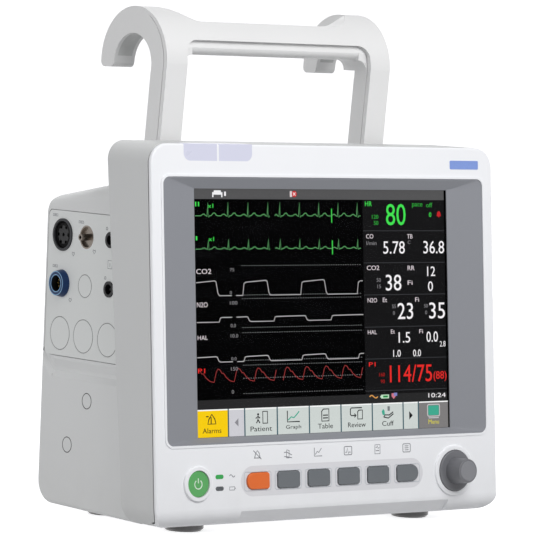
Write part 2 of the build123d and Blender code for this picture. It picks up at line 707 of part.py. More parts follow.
def make_lamp(span):
    """Lens over the front edge: a slab behind the face and a strip along the top."""
    u0, u1 = span
    room = block(u0 + LAMP_WALL, u1 - LAMP_WALL, LAMP_BOTTOM + LAMP_WALL, BODY_TOP - LAMP_WALL,
                 -LAMP_DEPTH - 5, -LAMP_WALL)
    return one((full_front_body(0) & lamp_tool(span)) - on_front(room))


def make_alarm_board():
    u0 = LAMP_SPANS[0][0]
    u1 = LAMP_SPANS[1][1]
    back = -LAMP_DEPTH - BOARD_THICKNESS
    return on_front(block(u0, u1, LAMP_BOTTOM + 0.5, LAMP_BOTTOM + 7.0, back, -LAMP_DEPTH))


# ---------------------------------------------------------------- rear housing
def panel_outline(grow):
    """Side panel outline in (Y, Z); its front edge runs parallel to the front section's back wall."""
    top = PANEL_TOP_Z + grow
    low = PANEL_BOTTOM_Z - min(grow, PANEL_FLANGE / 2)
    gap = PANEL_FRONT_GAP - grow
    points = [(back_y(top) + gap, top), (PANEL_REAR_Y + grow, top),
              (PANEL_REAR_Y + grow, low), (back_y(low) + gap, low)]
    return outline(points, [PANEL_CORNER] * 4)


def trough_tool():
    """Sloped groove under the side panel, turning up behind the panel's rear corner."""
    x = -SIDE
    out = 5.0
    section = [(x - out, TROUGH_TOP + out), (x, TROUGH_TOP), (x + TROUGH_DEPTH, TROUGH_FLOOR_TOP),
               (x + TROUGH_DEPTH, TROUGH_FLOOR_BOTTOM), (x, TROUGH_BOTTOM), (x - out, TROUGH_BOTTOM - out)]
    run = along_y(Polygon(*section, align=None), 0, TROUGH_REAR_Y)
    middle = (TROUGH_TOP + TROUGH_BOTTOM) / 2
    end = Pos(0, TROUGH_REAR_Y, middle) * Rot(45, 0, 0) * Pos(0, 0, -middle) * along_y(
        Polygon(*section, align=None), -3, 16)
    return run + end


def boss_places():
    """The four threaded inserts under the rear housing."""
    half = BOLT_SPACING / 2
    return [(x, BOLT_CENTRE_Y + y) for x in (-half, half) for y in (-half, half)]


def make_rear_housing(rear_block, cavity):
    shell = rear_block - cavity
    for x, y in boss_places():
        shell = shell + Pos(x, y, 0) * rod(BOSS_RADIUS, REAR_BOTTOM + 1, REAR_BOTTOM + INSERT_LENGTH)
        shell = shell - Pos(x, y, 0) * rod(INSERT_RADIUS, REAR_BOTTOM - 5, REAR_BOTTOM + INSERT_LENGTH + 1)
    cuts = [across(panel_outline(0), -SIDE - 5, -SIDE + WALL + 2), trough_tool()]
    cuts += [rod_x(CAP_RADIUS + 0.2, -SIDE - 1, -SIDE + 1.5, y, z) for y, z in CAP_PLACES]
    cuts.append(block(SIDE - 10, SIDE + 5, RECORDER_Y0, RECORDER_Y1, RECORDER_Z0, RECORDER_Z1))
    cuts.append(block(BATTERY_X0, BATTERY_X1, REAR_Y - 10, REAR_Y + 5, BATTERY_Z0, BATTERY_Z1))
    cuts.append(block(BAY_X0, BAY_X1, REAR_Y - WALL - 1, REAR_Y + 5, BAY_Z0, BAY_Z1))
    for i in range(VENT_COUNT):
        x = (i - (VENT_COUNT - 1) / 2) * VENT_PITCH
        slot = Pos(x, VENT_Z) * SlotOverall(VENT_HEIGHT, VENT_WIDTH, rotation=90)
        cuts.append(along_y(slot, REAR_Y - WALL - 5, REAR_Y + 5))
    cuts += [Pos(x, y, 0) * rod(HANDLE_SCREW_RADIUS, 40, 120) for x, y in handle_screw_places()]
    cuts += [rod_y(SCREW_RADIUS + 0.2, REAR_Y - WALL - 1, REAR_Y + 1, x, z) for x, z in REAR_SCREW_PLACES]
    for cut in cuts:
        shell = shell - cut
    return one(shell)


def handle_screw_places():
    """Two screws side by side rise into each handle post, between its cover and its rear edge."""
    middle = (HANDLE_HALF_WIDTH + POST_INNER) / 2
    reach = HANDLE_SCREW_SPACING / 2
    cover_back = HOOK_Y - HOOK_OUTER + COVER_THICKNESS
    post_rear = HOOK_INNER_Y - HOOK_INNER
    shift = math.tan(math.radians(POST_LEAN)) * (HOOK_Z - rear_top_z(post_rear))
    y = (cover_back + post_rear) / 2 + shift
    return [(side * middle + dx, y) for side in (-1, 1) for dx in (-reach, reach)]


def make_side_panel(cavity):
    plate = across(panel_outline(-PANEL_OUTLINE_GAP), -SIDE, -SIDE + WALL)
    flange = across(panel_outline(PANEL_FLANGE), -SIDE + WALL, -SIDE + WALL + FLANGE_THICKNESS)
    panel = plate + (flange & cavity)
    holes = [(ECG_RADIUS, 0, 0), (NIBP_DISH_RADIUS, 1, 0), (SMALL_SOCKET_RADIUS, 2, 0),
             (SPO2_BASE_RADIUS, 0, 1), (SMALL_PLUG_RADIUS + 0.3, 1, 1), (SMALL_SOCKET_RADIUS, 2, 1)]
    holes += [(LARGE_PLUG_RADIUS + 0.3, column, 2) for column in range(3)]
    for radius, column, row in holes:
        panel = panel - rod_x(radius, -SIDE - 5, -SIDE + 10, COLUMN_Y[column], ROW_Z[row])
    return one(panel)


def make_ecg_socket():
    ring = rod_x(ECG_RADIUS, -SIDE - ECG_PROUD, -SIDE + SOCKET_DEPTH, COLUMN_Y[0], ROW_Z[0])
    return ring - rod_x(ECG_RADIUS - 1.6, -SIDE - 5, -SIDE + SOCKET_DEPTH - 4, COLUMN_Y[0], ROW_Z[0])


def make_ecg_insert():
    insert = rod_x(ECG_RADIUS - 1.6, -SIDE - ECG_PROUD + 1.2, -SIDE + SOCKET_DEPTH - 4, COLUMN_Y[0], ROW_Z[0])
    for i in range(7):
        reach = ECG_PIN_CIRCLE if i else 0.0
        angle = math.radians(60 * i)
        y = COLUMN_Y[0] + reach * math.cos(angle)
        z = ROW_Z[0] + reach * math.sin(angle)
        insert = insert - rod_x(1.25, -SIDE - 5, -SIDE + 9, y, z)
    return insert


def make_nibp_fitting():
    y, z = COLUMN_Y[1], ROW_Z[0]
    floor = -SIDE + NIBP_DISH_DEPTH
    fitting = rod_x(NIBP_DISH_RADIUS, -SIDE, -SIDE + SOCKET_DEPTH - 4, y, z)
    fitting = fitting - rod_x(NIBP_DISH_RADIUS - 1.0, -SIDE - 1, floor, y, z)
    fitting = fitting + rod_x(NIBP_NIPPLE_RADIUS, -SIDE - NIBP_PROUD, floor + 1, y, z)
    return fitting - rod_x(NIBP_BORE_RADIUS, -SIDE - NIBP_PROUD - 1, -SIDE + SOCKET_DEPTH, y, z)


def make_spo2_socket():
    y, z = COLUMN_Y[0], ROW_Z[1]
    cone = Rot(0, 90, 0) * Cone(SPO2_TIP_RADIUS, SPO2_BASE_RADIUS, SPO2_PROUD)
    cone = Pos(-SIDE - SPO2_PROUD / 2, y, z) * cone
    stem = rod_x(SPO2_BASE_RADIUS, -SIDE, -SIDE + SOCKET_DEPTH, y, z)
    mouth = -SIDE - SPO2_PROUD
    bore = rod_x(SPO2_BORE_RADIUS, mouth - 1, mouth + SPO2_BORE_DEPTH, y, z)
    return cone + stem - bore - rod_x(SPO2_INSERT_RADIUS, mouth, -SIDE + SPO2_BORE_DEPTH, y, z)


def make_spo2_insert():
    y, z = COLUMN_Y[0], ROW_Z[1]
    start = -SIDE - SPO2_PROUD + SPO2_BORE_DEPTH
    insert = rod_x(SPO2_INSERT_RADIUS, start, -SIDE + SPO2_BORE_DEPTH, y, z)
    for i in range(6):
        angle = math.radians(60 * i)
        insert = insert - rod_x(0.6, start - 1, start + 4, y + 3 * math.cos(angle), z + 3 * math.sin(angle))
    return insert


def make_small_sockets():
    sockets = []
    for row in (0, 1):
        y, z = COLUMN_Y[2], ROW_Z[row]
        tube = rod_x(SMALL_SOCKET_RADIUS, -SIDE - 0.8, -SIDE + SOCKET_DEPTH - 6, y, z)
        tube = tube - rod_x(SMALL_SOCKET_RADIUS - 1.8, -SIDE - 5, -SIDE + 8, y, z)
        sockets.append(tube + rod_x(0.8, -SIDE + 1, -SIDE + 9, y, z))
    return Compound(children=sockets)


def make_blank_plugs():
    places = [(SMALL_PLUG_RADIUS, 1, 1)] + [(LARGE_PLUG_RADIUS, column, 2) for column in range(3)]
    plugs = []
    for radius, column, row in places:
        y, z = COLUMN_Y[column], ROW_Z[row]
        disc = rod_x(radius, -SIDE, -SIDE + WALL + FLANGE_THICKNESS, y, z)
        plugs.append(disc + rod_x(radius + 1.2, -SIDE + WALL + FLANGE_THICKNESS,
                                  -SIDE + WALL + FLANGE_THICKNESS + 1.2, y, z))
    return Compound(children=plugs)


def make_screw_caps():
    return Compound(children=[rod_x(CAP_RADIUS, -SIDE, -SIDE + 1.5, y, z) for y, z in CAP_PLACES])


# ---------------------------------------------------------------- handle
def hook_outline():
    """Post, hook ring and hook tip in (Y, Z)."""
    upper = Pos(HOOK_Y, HOOK_Z) * Circle(HOOK_OUTER) & (Pos(HOOK_Y, HOOK_Z + 50) * Rectangle(200, 100))
    shift = math.tan(math.radians(POST_LEAN)) * 100
    front = HOOK_Y - HOOK_OUTER
    rear = HOOK_INNER_Y - HOOK_INNER
    foot_z = HOOK_Z - 100
    corners = [(front, HOOK_Z), (rear, HOOK_Z), (rear + shift, foot_z), (front + shift, foot_z)]
    post = Polygon(*corners, align=None)
    tip_inner = HOOK_INNER_Y + HOOK_INNER
    tip_outer = HOOK_Y + HOOK_OUTER
    tip = outline([(tip_inner, HOOK_Z), (tip_inner, HOOK_Z - HOOK_TIP_DROP),
                   (tip_outer, HOOK_Z - HOOK_TIP_DROP), (tip_outer, HOOK_Z)],
                  [0, HOOK_TIP_ROUND, HOOK_TIP_ROUND, 0])
    return (upper + post + tip) - Pos(HOOK_INNER_Y, HOOK_INNER_Z) * Circle(HOOK_INNER)


def behind_cover():
    """The region in (Y, Z) that lies behind the handle's front cover."""
    shift = math.tan(math.radians(POST_LEAN)) * 100
    front = HOOK_Y - HOOK_OUTER + COVER_THICKNESS
    far = 80
    circle = Pos(HOOK_Y + COVER_THICKNESS - 0.6, HOOK_Z) * Circle(HOOK_OUTER - 0.6)
    post = Polygon((front, HOOK_Z), (front + far, HOOK_Z), (front + shift + far, HOOK_Z - 100),
                   (front + shift, HOOK_Z - 100), align=None)
    return circle + post + Pos(HOOK_Y + far, HOOK_Z) * Rectangle(2 * far, 400)


def crown_tool():
    """Everything above the bar's top, which rises to the hook crowns in a soft step at each end."""
    crown = HOOK_Z + HOOK_OUTER
    high = crown + 30
    edges = [Line((-SHOULDER_INNER, BAR_TOP), (SHOULDER_INNER, BAR_TOP)),
             Spline((SHOULDER_INNER, BAR_TOP), (SHOULDER_OUTER, crown), tangents=[(1, 0), (1, 0)]),
             Line((SHOULDER_OUTER, crown), (SHOULDER_OUTER, high)),
             Line((SHOULDER_OUTER, high), (-SHOULDER_OUTER, high)),
             Line((-SHOULDER_OUTER, high), (-SHOULDER_OUTER, crown)),
             Spline((-SHOULDER_OUTER, crown), (-SHOULDER_INNER, BAR_TOP), tangents=[(1, 0), (1, 0)])]
    return along_y(make_face(edges), 0, 200)


def gap_tool(top, corner):
    """Opening between the posts, with rounded upper corners."""
    face = Pos(0, top - 100) * RectangleRounded(2 * POST_INNER, 200, corner)
    return along_y(face, 0, 200)


def make_handle(rear_block):
    """Handle body and front cover, standing on the rear housing's top."""
    profile = hook_outline()
    below_end = Pos(HOOK_Y, COVER_END_Z - 200) * Rectangle(400, 400)
    skin = (profile - behind_cover()) & below_end
    crown = crown_tool()
    cover = across(skin, -HANDLE_HALF_WIDTH, HANDLE_HALF_WIDTH) - gap_tool(BAR_CREASE, COVER_CORNER)
    cover = cover - crown - rear_block
    posts = profile - skin
    body = across(posts, POST_INNER, HANDLE_HALF_WIDTH) + across(posts, -HANDLE_HALF_WIDTH, -POST_INNER)
    circle = Pos(HOOK_Y, HOOK_Z) * Circle(HOOK_OUTER)
    front = HOOK_Y - HOOK_OUTER + COVER_THICKNESS + BAR_GRIP_SETBACK
    above = HOOK_Z + 60
    grip = outline([(front, BAR_BOTTOM), (BAR_REAR_Y, BAR_BOTTOM), (BAR_REAR_Y, above), (front, above)],
                   [BAR_ROUND, BAR_ROUND, 0, 0])
    room = Pos((front + BAR_REAR_Y) / 2, BAR_BOTTOM) * Rectangle(BAR_REAR_Y - front, 4 * BAR_ROUND)
    bar = across((circle & grip) - skin, -POST_INNER, POST_INNER) - crown
    for x0, x1 in ((-POST_INNER, BAR_CORNER - POST_INNER), (POST_INNER - BAR_CORNER, POST_INNER)):
        bar = bar + (across((circle & room) - skin, x0, x1) - gap_tool(BAR_BOTTOM, BAR_CORNER))
    body = body + bar
    pads = []
    for side in (-1, 1):
        low = POST_INNER + PAD_INSET
        high = HANDLE_HALF_WIDTH - PAD_INSET
        x0, x1 = (low, high) if side > 0 else (-high, -low)
        ring = Pos(HOOK_INNER_Y, HOOK_INNER_Z) * (Circle(HOOK_INNER + PAD_THICKNESS) - Circle(HOOK_INNER))
        ring = ring & (Pos(HOOK_INNER_Y, HOOK_INNER_Z + PAD_REACH + 50) * Rectangle(200, 100))
        strip = across(ring, x0, x1)
        body = body - strip
        pads.append(strip)
    groove = (behind_cover() - Pos(COVER_GROOVE, 0) * behind_cover()) & below_end
    groove_spans = [(HANDLE_HALF_WIDTH - COVER_GROOVE, HANDLE_HALF_WIDTH + 1),
                    (POST_INNER - 1, POST_INNER + COVER_GROOVE)]
    for x0, x1 in groove_spans:
        body = body - across(groove, x0, x1) - across(groove, -x1, -x0)
    body = body - rear_block
    for x, y in handle_screw_places():
        body = body - Pos(x, y, 0) * rod(HANDLE_SCREW_RADIUS, 40, rear_top_z(y) + HANDLE_SCREW_REACH)
    return fused(body), fused(cover), Compound(children=pads)


def make_handle_screws():
    screws = []
    for x, y in handle_screw_places():
        under = rear_top_z(y, WALL) - 0.5
        shank = Pos(x, y, 0) * rod(HANDLE_SCREW_RADIUS, under, rear_top_z(y) + HANDLE_SCREW_REACH)
        screws.append(shank + Pos(x, y, 0) * rod(HANDLE_SCREW_HEAD, under - 3, under))
    return screws


# ---------------------------------------------------------------- feet and underside
def make_feet(front_block, rear_block):
    feet = []
    for x in (-FOOT_X, FOOT_X):
        for y in (FOOT_FRONT_Y, FOOT_REAR_Y):
            foot = rod(FOOT_RADIUS, FOOT_BOTTOM, REAR_BOTTOM + 0.2)
            foot = chamfer(foot.edges().sort_by(Axis.Z)[0], FOOT_CHAMFER)
            foot = foot - rod(FOOT_SCREW_RADIUS + 0.6, FOOT_BOTTOM - 1, FOOT_BOTTOM + FOOT_RECESS)
            feet.append(one(Pos(x, y, 0) * foot - front_block - rear_block))
    return Compound(children=feet)


def make_foot_screws():
    screws = [Pos(x, y, 0) * rod(FOOT_SCREW_RADIUS, FOOT_BOTTOM + 0.8, FOOT_BOTTOM + FOOT_RECESS)
              for x in (-FOOT_X, FOOT_X) for y in (FOOT_FRONT_Y, FOOT_REAR_Y)]
    return screws


def make_inserts():
    inserts = []
    for x, y in boss_places():
        tube = rod(INSERT_RADIUS, REAR_BOTTOM, REAR_BOTTOM + INSERT_LENGTH)
        bore = rod(INSERT_BORE, REAR_BOTTOM - 1, REAR_BOTTOM + INSERT_LENGTH + 1)
        inserts.append(Pos(x, y, 0) * (tube - bore))
    return Compound(children=inserts)


def make_rear_screws():
    screws = []
    for x, z in REAR_SCREW_PLACES:
        top = REAR_Y - SCREW_RECESS
        screw = rod_y(SCREW_RADIUS, REAR_Y - WALL, top, x, z)
        screw = screw + rod_y(SCREW_SHANK_RADIUS, REAR_Y - WALL - SCREW_LENGTH, REAR_Y - WALL, x, z)
        for half_x, half_z in ((CROSS_HALF_WIDTH, CROSS_HALF_LENGTH), (CROSS_HALF_LENGTH, CROSS_HALF_WIDTH)):
            screw = screw - block(x - half_x, x + half_x, top - CROSS_DEPTH, REAR_Y, z - half_z, z + half_z)
        screws.append(screw)
    return screws


# ---------------------------------------------------------------- recorder
def make_recorder_frame():
    tub = block(SIDE - RECORDER_DEPTH, SIDE, RECORDER_Y0, RECORDER_Y1, RECORDER_Z0, RECORDER_Z1)
    y0 = RECORDER_Y0 + RECORDER_WALL
    y1 = RECORDER_Y1 - RECORDER_WALL
    z0 = RECORDER_Z0 + RECORDER_WALL
    z1 = RECORDER_Z1 - RECORDER_WALL
    tub = tub - block(SIDE - RECORDER_DEPTH + RECORDER_WALL, SIDE - WALL, y0, y1, z0, z1)
    tub = tub - block(SIDE - WALL - 1, SIDE + 1, y0, y1, z0, RECORDER_DOOR_TOP + PAPER_SLOT)
    half_w = RELEASE_HALF_WIDTH + RELEASE_GAP
    half_h = RELEASE_HALF_HEIGHT + RELEASE_GAP
    tub = tub - block(SIDE - 20, SIDE + 1, RECORDER_MIDDLE - half_w, RECORDER_MIDDLE + half_w,
                      RELEASE_Z - half_h, RELEASE_Z + half_h)
    return tub - make_recorder_pin()


def make_recorder_pin():
    y0 = RECORDER_Y0 + PIN_END
    y1 = RECORDER_Y1 - PIN_END
    return rod_y(HINGE_PIN_RADIUS, y0, y1, RECORDER_AXIS_X, RECORDER_AXIS_Z)


def make_recorder_door():
    y0 = RECORDER_Y0 + RECORDER_WALL + DOOR_GAP
    y1 = RECORDER_Y1 - RECORDER_WALL - DOOR_GAP
    door = block(SIDE - WALL, SIDE, y0, y1, RECORDER_AXIS_Z, RECORDER_DOOR_TOP)
    door = door + rod_y(KNUCKLE_RADIUS, y0, y1, RECORDER_AXIS_X, RECORDER_AXIS_Z)
    low = PLATEN_Z - PLATEN_LUG
    high = PLATEN_Z + PLATEN_LUG
    for a, b in ((y0, y0 + PLATEN_LUG_THICKNESS), (y1 - PLATEN_LUG_THICKNESS, y1)):
        door = door + block(PLATEN_X - PLATEN_LUG, SIDE - WALL, a, b, low, high)
    door = door - rod_y(PLATEN_PIN_RADIUS + HINGE_CLEARANCE, y0 - 1, y1 + 1, PLATEN_X, PLATEN_Z)
    return door - rod_y(HINGE_PIN_RADIUS + HINGE_CLEARANCE, y0 - 1, y1 + 1, RECORDER_AXIS_X, RECORDER_AXIS_Z)


def make_platen():
    y0 = RECORDER_MIDDLE - PAPER_WIDTH / 2
    y1 = RECORDER_MIDDLE + PAPER_WIDTH / 2
    roller = rod_y(PLATEN_RADIUS, y0, y1, PLATEN_X, PLATEN_Z)
    return roller + rod_y(PLATEN_PIN_RADIUS, y0 - PLATEN_PIN_REACH, y1 + PLATEN_PIN_REACH, PLATEN_X, PLATEN_Z)


def make_paper_roll():
    y0 = RECORDER_MIDDLE - PAPER_WIDTH / 2
    roll = rod_y(PAPER_RADIUS, y0, y0 + PAPER_WIDTH, ROLL_X, ROLL_Z)
    return roll - rod_y(PAPER_CORE_RADIUS, 0, 200, ROLL_X, ROLL_Z)


def make_thermal_head():
    x1 = PLATEN_X - PLATEN_RADIUS - 0.4
    x0 = x1 - HEAD_THICKNESS
    top = PLATEN_Z + 6
    y = RECORDER_MIDDLE
    head = block(x0, x1, y - HEAD_HALF_WIDTH, y + HEAD_HALF_WIDTH, PLATEN_Z - 7, top)
    ceiling = RECORDER_Z1 - RECORDER_WALL
    return head + block(x0, x1, y - HEAD_ARM_HALF_WIDTH, y + HEAD_ARM_HALF_WIDTH, top, ceiling)


def make_release_button():
    return block(SIDE - RELEASE_LENGTH, SIDE + RELEASE_PROUD,
                 RECORDER_MIDDLE - RELEASE_HALF_WIDTH, RECORDER_MIDDLE + RELEASE_HALF_WIDTH,
                 RELEASE_Z - RELEASE_HALF_HEIGHT, RELEASE_Z + RELEASE_HALF_HEIGHT)


# ---------------------------------------------------------------- battery
def make_battery_bay():
    y1 = REAR_Y - WALL
    y0 = y1 - 2 * KNUCKLE_RADIUS - BATTERY_LENGTH - BATTERY_END_GAP - BAY_WALL
    sleeve = block(BATTERY_X0 - BAY_WALL, BATTERY_X1 + BAY_WALL, y0, y1,
                   BATTERY_Z0 - BAY_WALL, BATTERY_Z1 + BAY_WALL)
    return sleeve - block(BATTERY_X0, BATTERY_X1, y0 + BAY_WALL, y1 + 1, BATTERY_Z0, BATTERY_Z1)


def make_battery_pack():
    y1 = REAR_Y - WALL - 2 * KNUCKLE_RADIUS
    x0 = BATTERY_X0 + BATTERY_CLEARANCE
    x1 = BATTERY_X1 - BATTERY_CLEARANCE
    pack = block(x0, x1, y1 - BATTERY_LENGTH, y1, BATTERY_Z0, BATTERY_Z1 - BATTERY_CLEARANCE)
    return fillet(pack.edges().filter_by(Axis.Y), BATTERY_CORNER)


def make_battery_door():
    z0 = BATTERY_Z0 + DOOR_GAP
    z1 = BATTERY_Z1 - DOOR_GAP
    door = block(BATTERY_AXIS_X, BATTERY_X1 - DOOR_GAP, REAR_Y - WALL, REAR_Y, z0, z1)
    door = door + Pos(BATTERY_AXIS_X, BATTERY_AXIS_Y, 0) * rod(KNUCKLE_RADIUS, z0, z1)
    notch = Pos(BATTERY_X1, REAR_Y + 3, (z0 + z1) / 2) * Sphere(NOTCH_RADIUS)
    notch = notch & block(-SIDE, SIDE, REAR_Y - NOTCH_DEPTH, REAR_Y + 20, z0, z1)
    bore = Pos(BATTERY_AXIS_X, BATTERY_AXIS_Y, 0) * rod(HINGE_PIN_RADIUS + HINGE_CLEARANCE, z0 - 1, z1 + 1)
    return one(door - notch - bore)


def make_hinge_pins():
    """The recorder door's pin and the battery door's pin."""
    battery_pin = Pos(BATTERY_AXIS_X, BATTERY_AXIS_Y, 0) * rod(HINGE_PIN_RADIUS, BATTERY_Z0, BATTERY_Z1)
    return Compound(children=[make_recorder_pin(), battery_pin])


# ---------------------------------------------------------------- connector bay
def make_connector_tray():
    tray = block(BAY_X0 - BAY_PLATE, BAY_X1 + BAY_PLATE, BAY_FLOOR_Y - BAY_PLATE, REAR_Y - WALL,
                 BAY_Z0 - BAY_PLATE, BAY_Z1 + BAY_PLATE)
    tray = tray - block(BAY_X0, BAY_X1, BAY_FLOOR_Y, REAR_Y + 1, BAY_Z0, BAY_Z1)
    tray = tray - inlet_block(0, REAR_Y)
    half = NETWORK_SIZE / 2
    tray = tray - block(NETWORK_X - half, NETWORK_X + half, 0, REAR_Y, NETWORK_Z - half, NETWORK_Z + half)
    return tray - rod_y(STUD_SHANK_RADIUS, 0, REAR_Y, STUD_X, INLET_Z)


def inlet_block(y0, y1):
    """The inlet's body behind its flange, and the hole it goes through."""
    return block(INLET_X - INLET_BODY_HALF_WIDTH, INLET_X + INLET_BODY_HALF_WIDTH, y0, y1,
                 INLET_Z - INLET_BODY_HALF_HEIGHT, INLET_Z + INLET_BODY_HALF_HEIGHT)


def make_inlet():
    y = BAY_FLOOR_Y
    flange = block(INLET_X - INLET_WIDTH / 2, INLET_X + INLET_WIDTH / 2, y, y + INLET_FLANGE,
                   INLET_Z - INLET_HEIGHT / 2, INLET_Z + INLET_HEIGHT / 2)
    half_w = INLET_CAVITY_WIDTH / 2
    half_h = INLET_CAVITY_HEIGHT / 2
    cut = INLET_CHAMFER
    corners = [(-half_w, -half_h), (half_w, -half_h), (half_w, half_h - cut),
               (half_w - cut, half_h), (cut - half_w, half_h), (-half_w, half_h - cut)]
    mouth = Pos(INLET_X, INLET_Z) * Polygon(*corners, align=None)
    mouth = along_y(mouth, y + INLET_FLANGE - INLET_CAVITY_DEPTH, y + 10)
    return flange + inlet_block(y - INLET_BODY_DEPTH, y + 1) - mouth


def make_inlet_pins():
    y0 = BAY_FLOOR_Y + INLET_FLANGE - INLET_CAVITY_DEPTH
    pins = []
    for x, z in ((-INLET_PIN_PITCH, -2), (0, 2), (INLET_PIN_PITCH, -2)):
        pins.append(Pos(INLET_X + x, y0 + INLET_PIN_LENGTH / 2, INLET_Z + z) * Box(2, INLET_PIN_LENGTH, 4))
    return Compound(children=pins)


def make_stud():
    stud = rod_y(STUD_RADIUS, BAY_FLOOR_Y, BAY_FLOOR_Y + STUD_LENGTH, STUD_X, INLET_Z)
    stud = stud + rod_y(STUD_SHANK_RADIUS, BAY_FLOOR_Y - 8, BAY_FLOOR_Y, STUD_X, INLET_Z)
    under = BAY_FLOOR_Y - BAY_PLATE
    return stud + rod_y(STUD_NUT_RADIUS, under - STUD_NUT_THICKNESS, under, STUD_X, INLET_Z)


def make_network_port():
    half = NETWORK_SIZE / 2
    y = BAY_FLOOR_Y
    port = block(NETWORK_X - half, NETWORK_X + half, y - NETWORK_DEPTH, y + NETWORK_PROUD,
                 NETWORK_Z - half, NETWORK_Z + half)
    z0 = NETWORK_Z + NETWORK_HOLE_LOW
    z1 = NETWORK_Z + NETWORK_HOLE_HIGH
    return port - block(NETWORK_X - NETWORK_HOLE_HALF_WIDTH, NETWORK_X + NETWORK_HOLE_HALF_WIDTH,
                        y - NETWORK_HOLE_DEPTH, y + 2, z0, z1)


# ---------------------------------------------------------------- chassis and boards
def make_chassis():
    half = CHASSIS_HALF
    upright = block(-half, half, CHASSIS_Y, CHASSIS_Y + CHASSIS_SHEET, CHASSIS_FLOOR, CHASSIS_TOP)
    floor = block(-half, half, CHASSIS_Y, CHASSIS_END_Y, CHASSIS_FLOOR, CHASSIS_FLOOR + CHASSIS_SHEET)
    cable_hole = block(-30, 30, 0, CHASSIS_Y + 4, -100, -70)
    chassis = upright + floor - cable_hole
    for x in BOARD_POSTS_X:
        for z in BOARD_POSTS_Z:
            chassis = chassis + rod_y(3.0, CHASSIS_Y + CHASSIS_SHEET, BOARD_Y, x, z)
    for x, y in boss_places():
        chassis = chassis - Pos(x, y, 0) * rod(INSERT_BORE + 0.8, CHASSIS_FLOOR - 1, CHASSIS_FLOOR + 5)
    return chassis


def make_main_board():
    return block(*BOARD_X, BOARD_Y, BOARD_Y + BOARD_THICKNESS, *BOARD_Z)


def make_power_supply():
    low = CHASSIS_FLOOR + CHASSIS_SHEET
    return block(*SUPPLY_X, *SUPPLY_Y, low, low + SUPPLY_HEIGHT)


def make_speaker():
    low = CHASSIS_FLOOR + CHASSIS_SHEET
    return Pos(SPEAKER_X, SPEAKER_Y, low + SPEAKER_HEIGHT / 2) * Cone(*SPEAKER_RADII, SPEAKER_HEIGHT)


def make_sensor_board():
    x = -SIDE + SOCKET_DEPTH
    return block(x, x + BOARD_THICKNESS, *SENSOR_BOARD_Y, *SENSOR_BOARD_Z)


def make_pump():
    z = BATTERY_Z1 + BAY_WALL + PUMP_RADIUS
    nozzle_y, pump_y, motor_y, end_y = PUMP_Y
    pump = rod_y(PUMP_RADIUS, pump_y, motor_y, PUMP_X, z)
    motor = rod_y(PUMP_MOTOR_RADIUS, motor_y, end_y, PUMP_X, z)
    return pump + motor + rod_y(PUMP_NOZZLE_RADIUS, nozzle_y, pump_y, PUMP_X, z)


# ---------------------------------------------------------------- assembly
rear_block = make_rear_block()
rear_cavity = make_rear_block(WALL, 20)
front_block = full_front_body(BODY_FRONT_DEPTH)
handle_body, handle_cover, hook_pads = make_handle(rear_block)

NODES = {
    "front_bezel": make_bezel(),
    "front_seal": make_seal(),
    "display_surround": make_display_surround(),
    "display_window": make_display_window(),
    "display_panel": plate_on_front(PANEL_WIDTH, PANEL_HEIGHT, PANEL_THICKNESS, PANEL_DEPTH),
    "display_bracket": make_display_bracket(PANEL_DEPTH + PANEL_THICKNESS),
    "key_strip": make_key_strip(),
    "keypad_mat": make_keypad_mat(),
    "front_boards": Compound(children=[make_keypad_board(), make_alarm_board()]),
    "power_button": make_power_button(),
    "led_windows": Compound(children=[make_led_window(v) for v in LED_V]),
    "knob": make_knob(),
    "knob_cap": make_knob_cap(),
    "encoder_shaft": make_encoder_shaft(),
    "encoder_plunger": make_encoder_plunger(),
    "encoder_body": make_encoder_body(),
    "alarm_lamps": Compound(children=[make_lamp(span) for span in LAMP_SPANS]),
    "front_housing": make_front_housing(rear_block),
    "rear_housing": make_rear_housing(rear_block, rear_cavity),
    "side_panel": make_side_panel(rear_cavity),
    "ecg_socket": make_ecg_socket(),
    "nibp_fitting": make_nibp_fitting(),
    "spo2_socket": make_spo2_socket(),
    "socket_inserts": Compound(children=[make_ecg_insert(), make_spo2_insert()]),
    "small_sockets": make_small_sockets(),
    "blank_plugs": make_blank_plugs(),
    "screw_caps": make_screw_caps(),
    "handle_body": handle_body,
    "handle_cover": handle_cover,
    "hook_pads": hook_pads,
    "feet": make_feet(front_block, rear_block),
    "fasteners": Compound(children=make_rear_screws() + make_handle_screws() + make_foot_screws()
                          + [make_encoder_nut()]),
    "mounting_inserts": make_inserts(),
    "recorder_frame": make_recorder_frame(),
    "recorder_door": make_recorder_door(),
    "platen_roller": make_platen(),
    "paper_roll": make_paper_roll(),
    "thermal_head": make_thermal_head(),
    "recorder_release": make_release_button(),
    "battery_bay": make_battery_bay(),
    "battery_pack": make_battery_pack(),
    "battery_door": make_battery_door(),
    "hinge_pins": make_hinge_pins(),
    "connector_tray": make_connector_tray(),
    "mains_inlet": make_inlet(),
    "inlet_pins": make_inlet_pins(),
    "earth_stud": make_stud(),
    "network_port": make_network_port(),
    "chassis": make_chassis(),
    "main_board": make_main_board(),
    "power_supply": make_power_supply(),
}
for index, name in enumerate(KEY_NAMES):
    NODES["key_" + name] = make_key(index)
NODES["speaker"] = make_speaker()
NODES["sensor_board"] = make_sensor_board()
NODES["cuff_pump"] = make_pump()

box = Compound(children=[Compound(children=list(shape.solids())) for shape in NODES.values()]).bounding_box()
to_row = Pos(-box.center().X, -box.center().Y, -box.min.Z)
os.makedirs("parts", exist_ok=True)
for name, shape in NODES.items():
    export_step(to_row * shape, f"parts/{name}.step")
print("nodes", len(NODES))
print("origin moved by", -box.center().X, -box.center().Y, -box.min.Z)
print("size", box.size)
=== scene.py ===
"""A bedside patient monitor: finishes, display picture, printed marks, socket contacts and a studio stage.

The packed CAD model is the frame. Every added piece is drawn in millimetres on one of its faces, and the
faces' places come from the boxes and meshes of its nodes.
"""

import json
import math

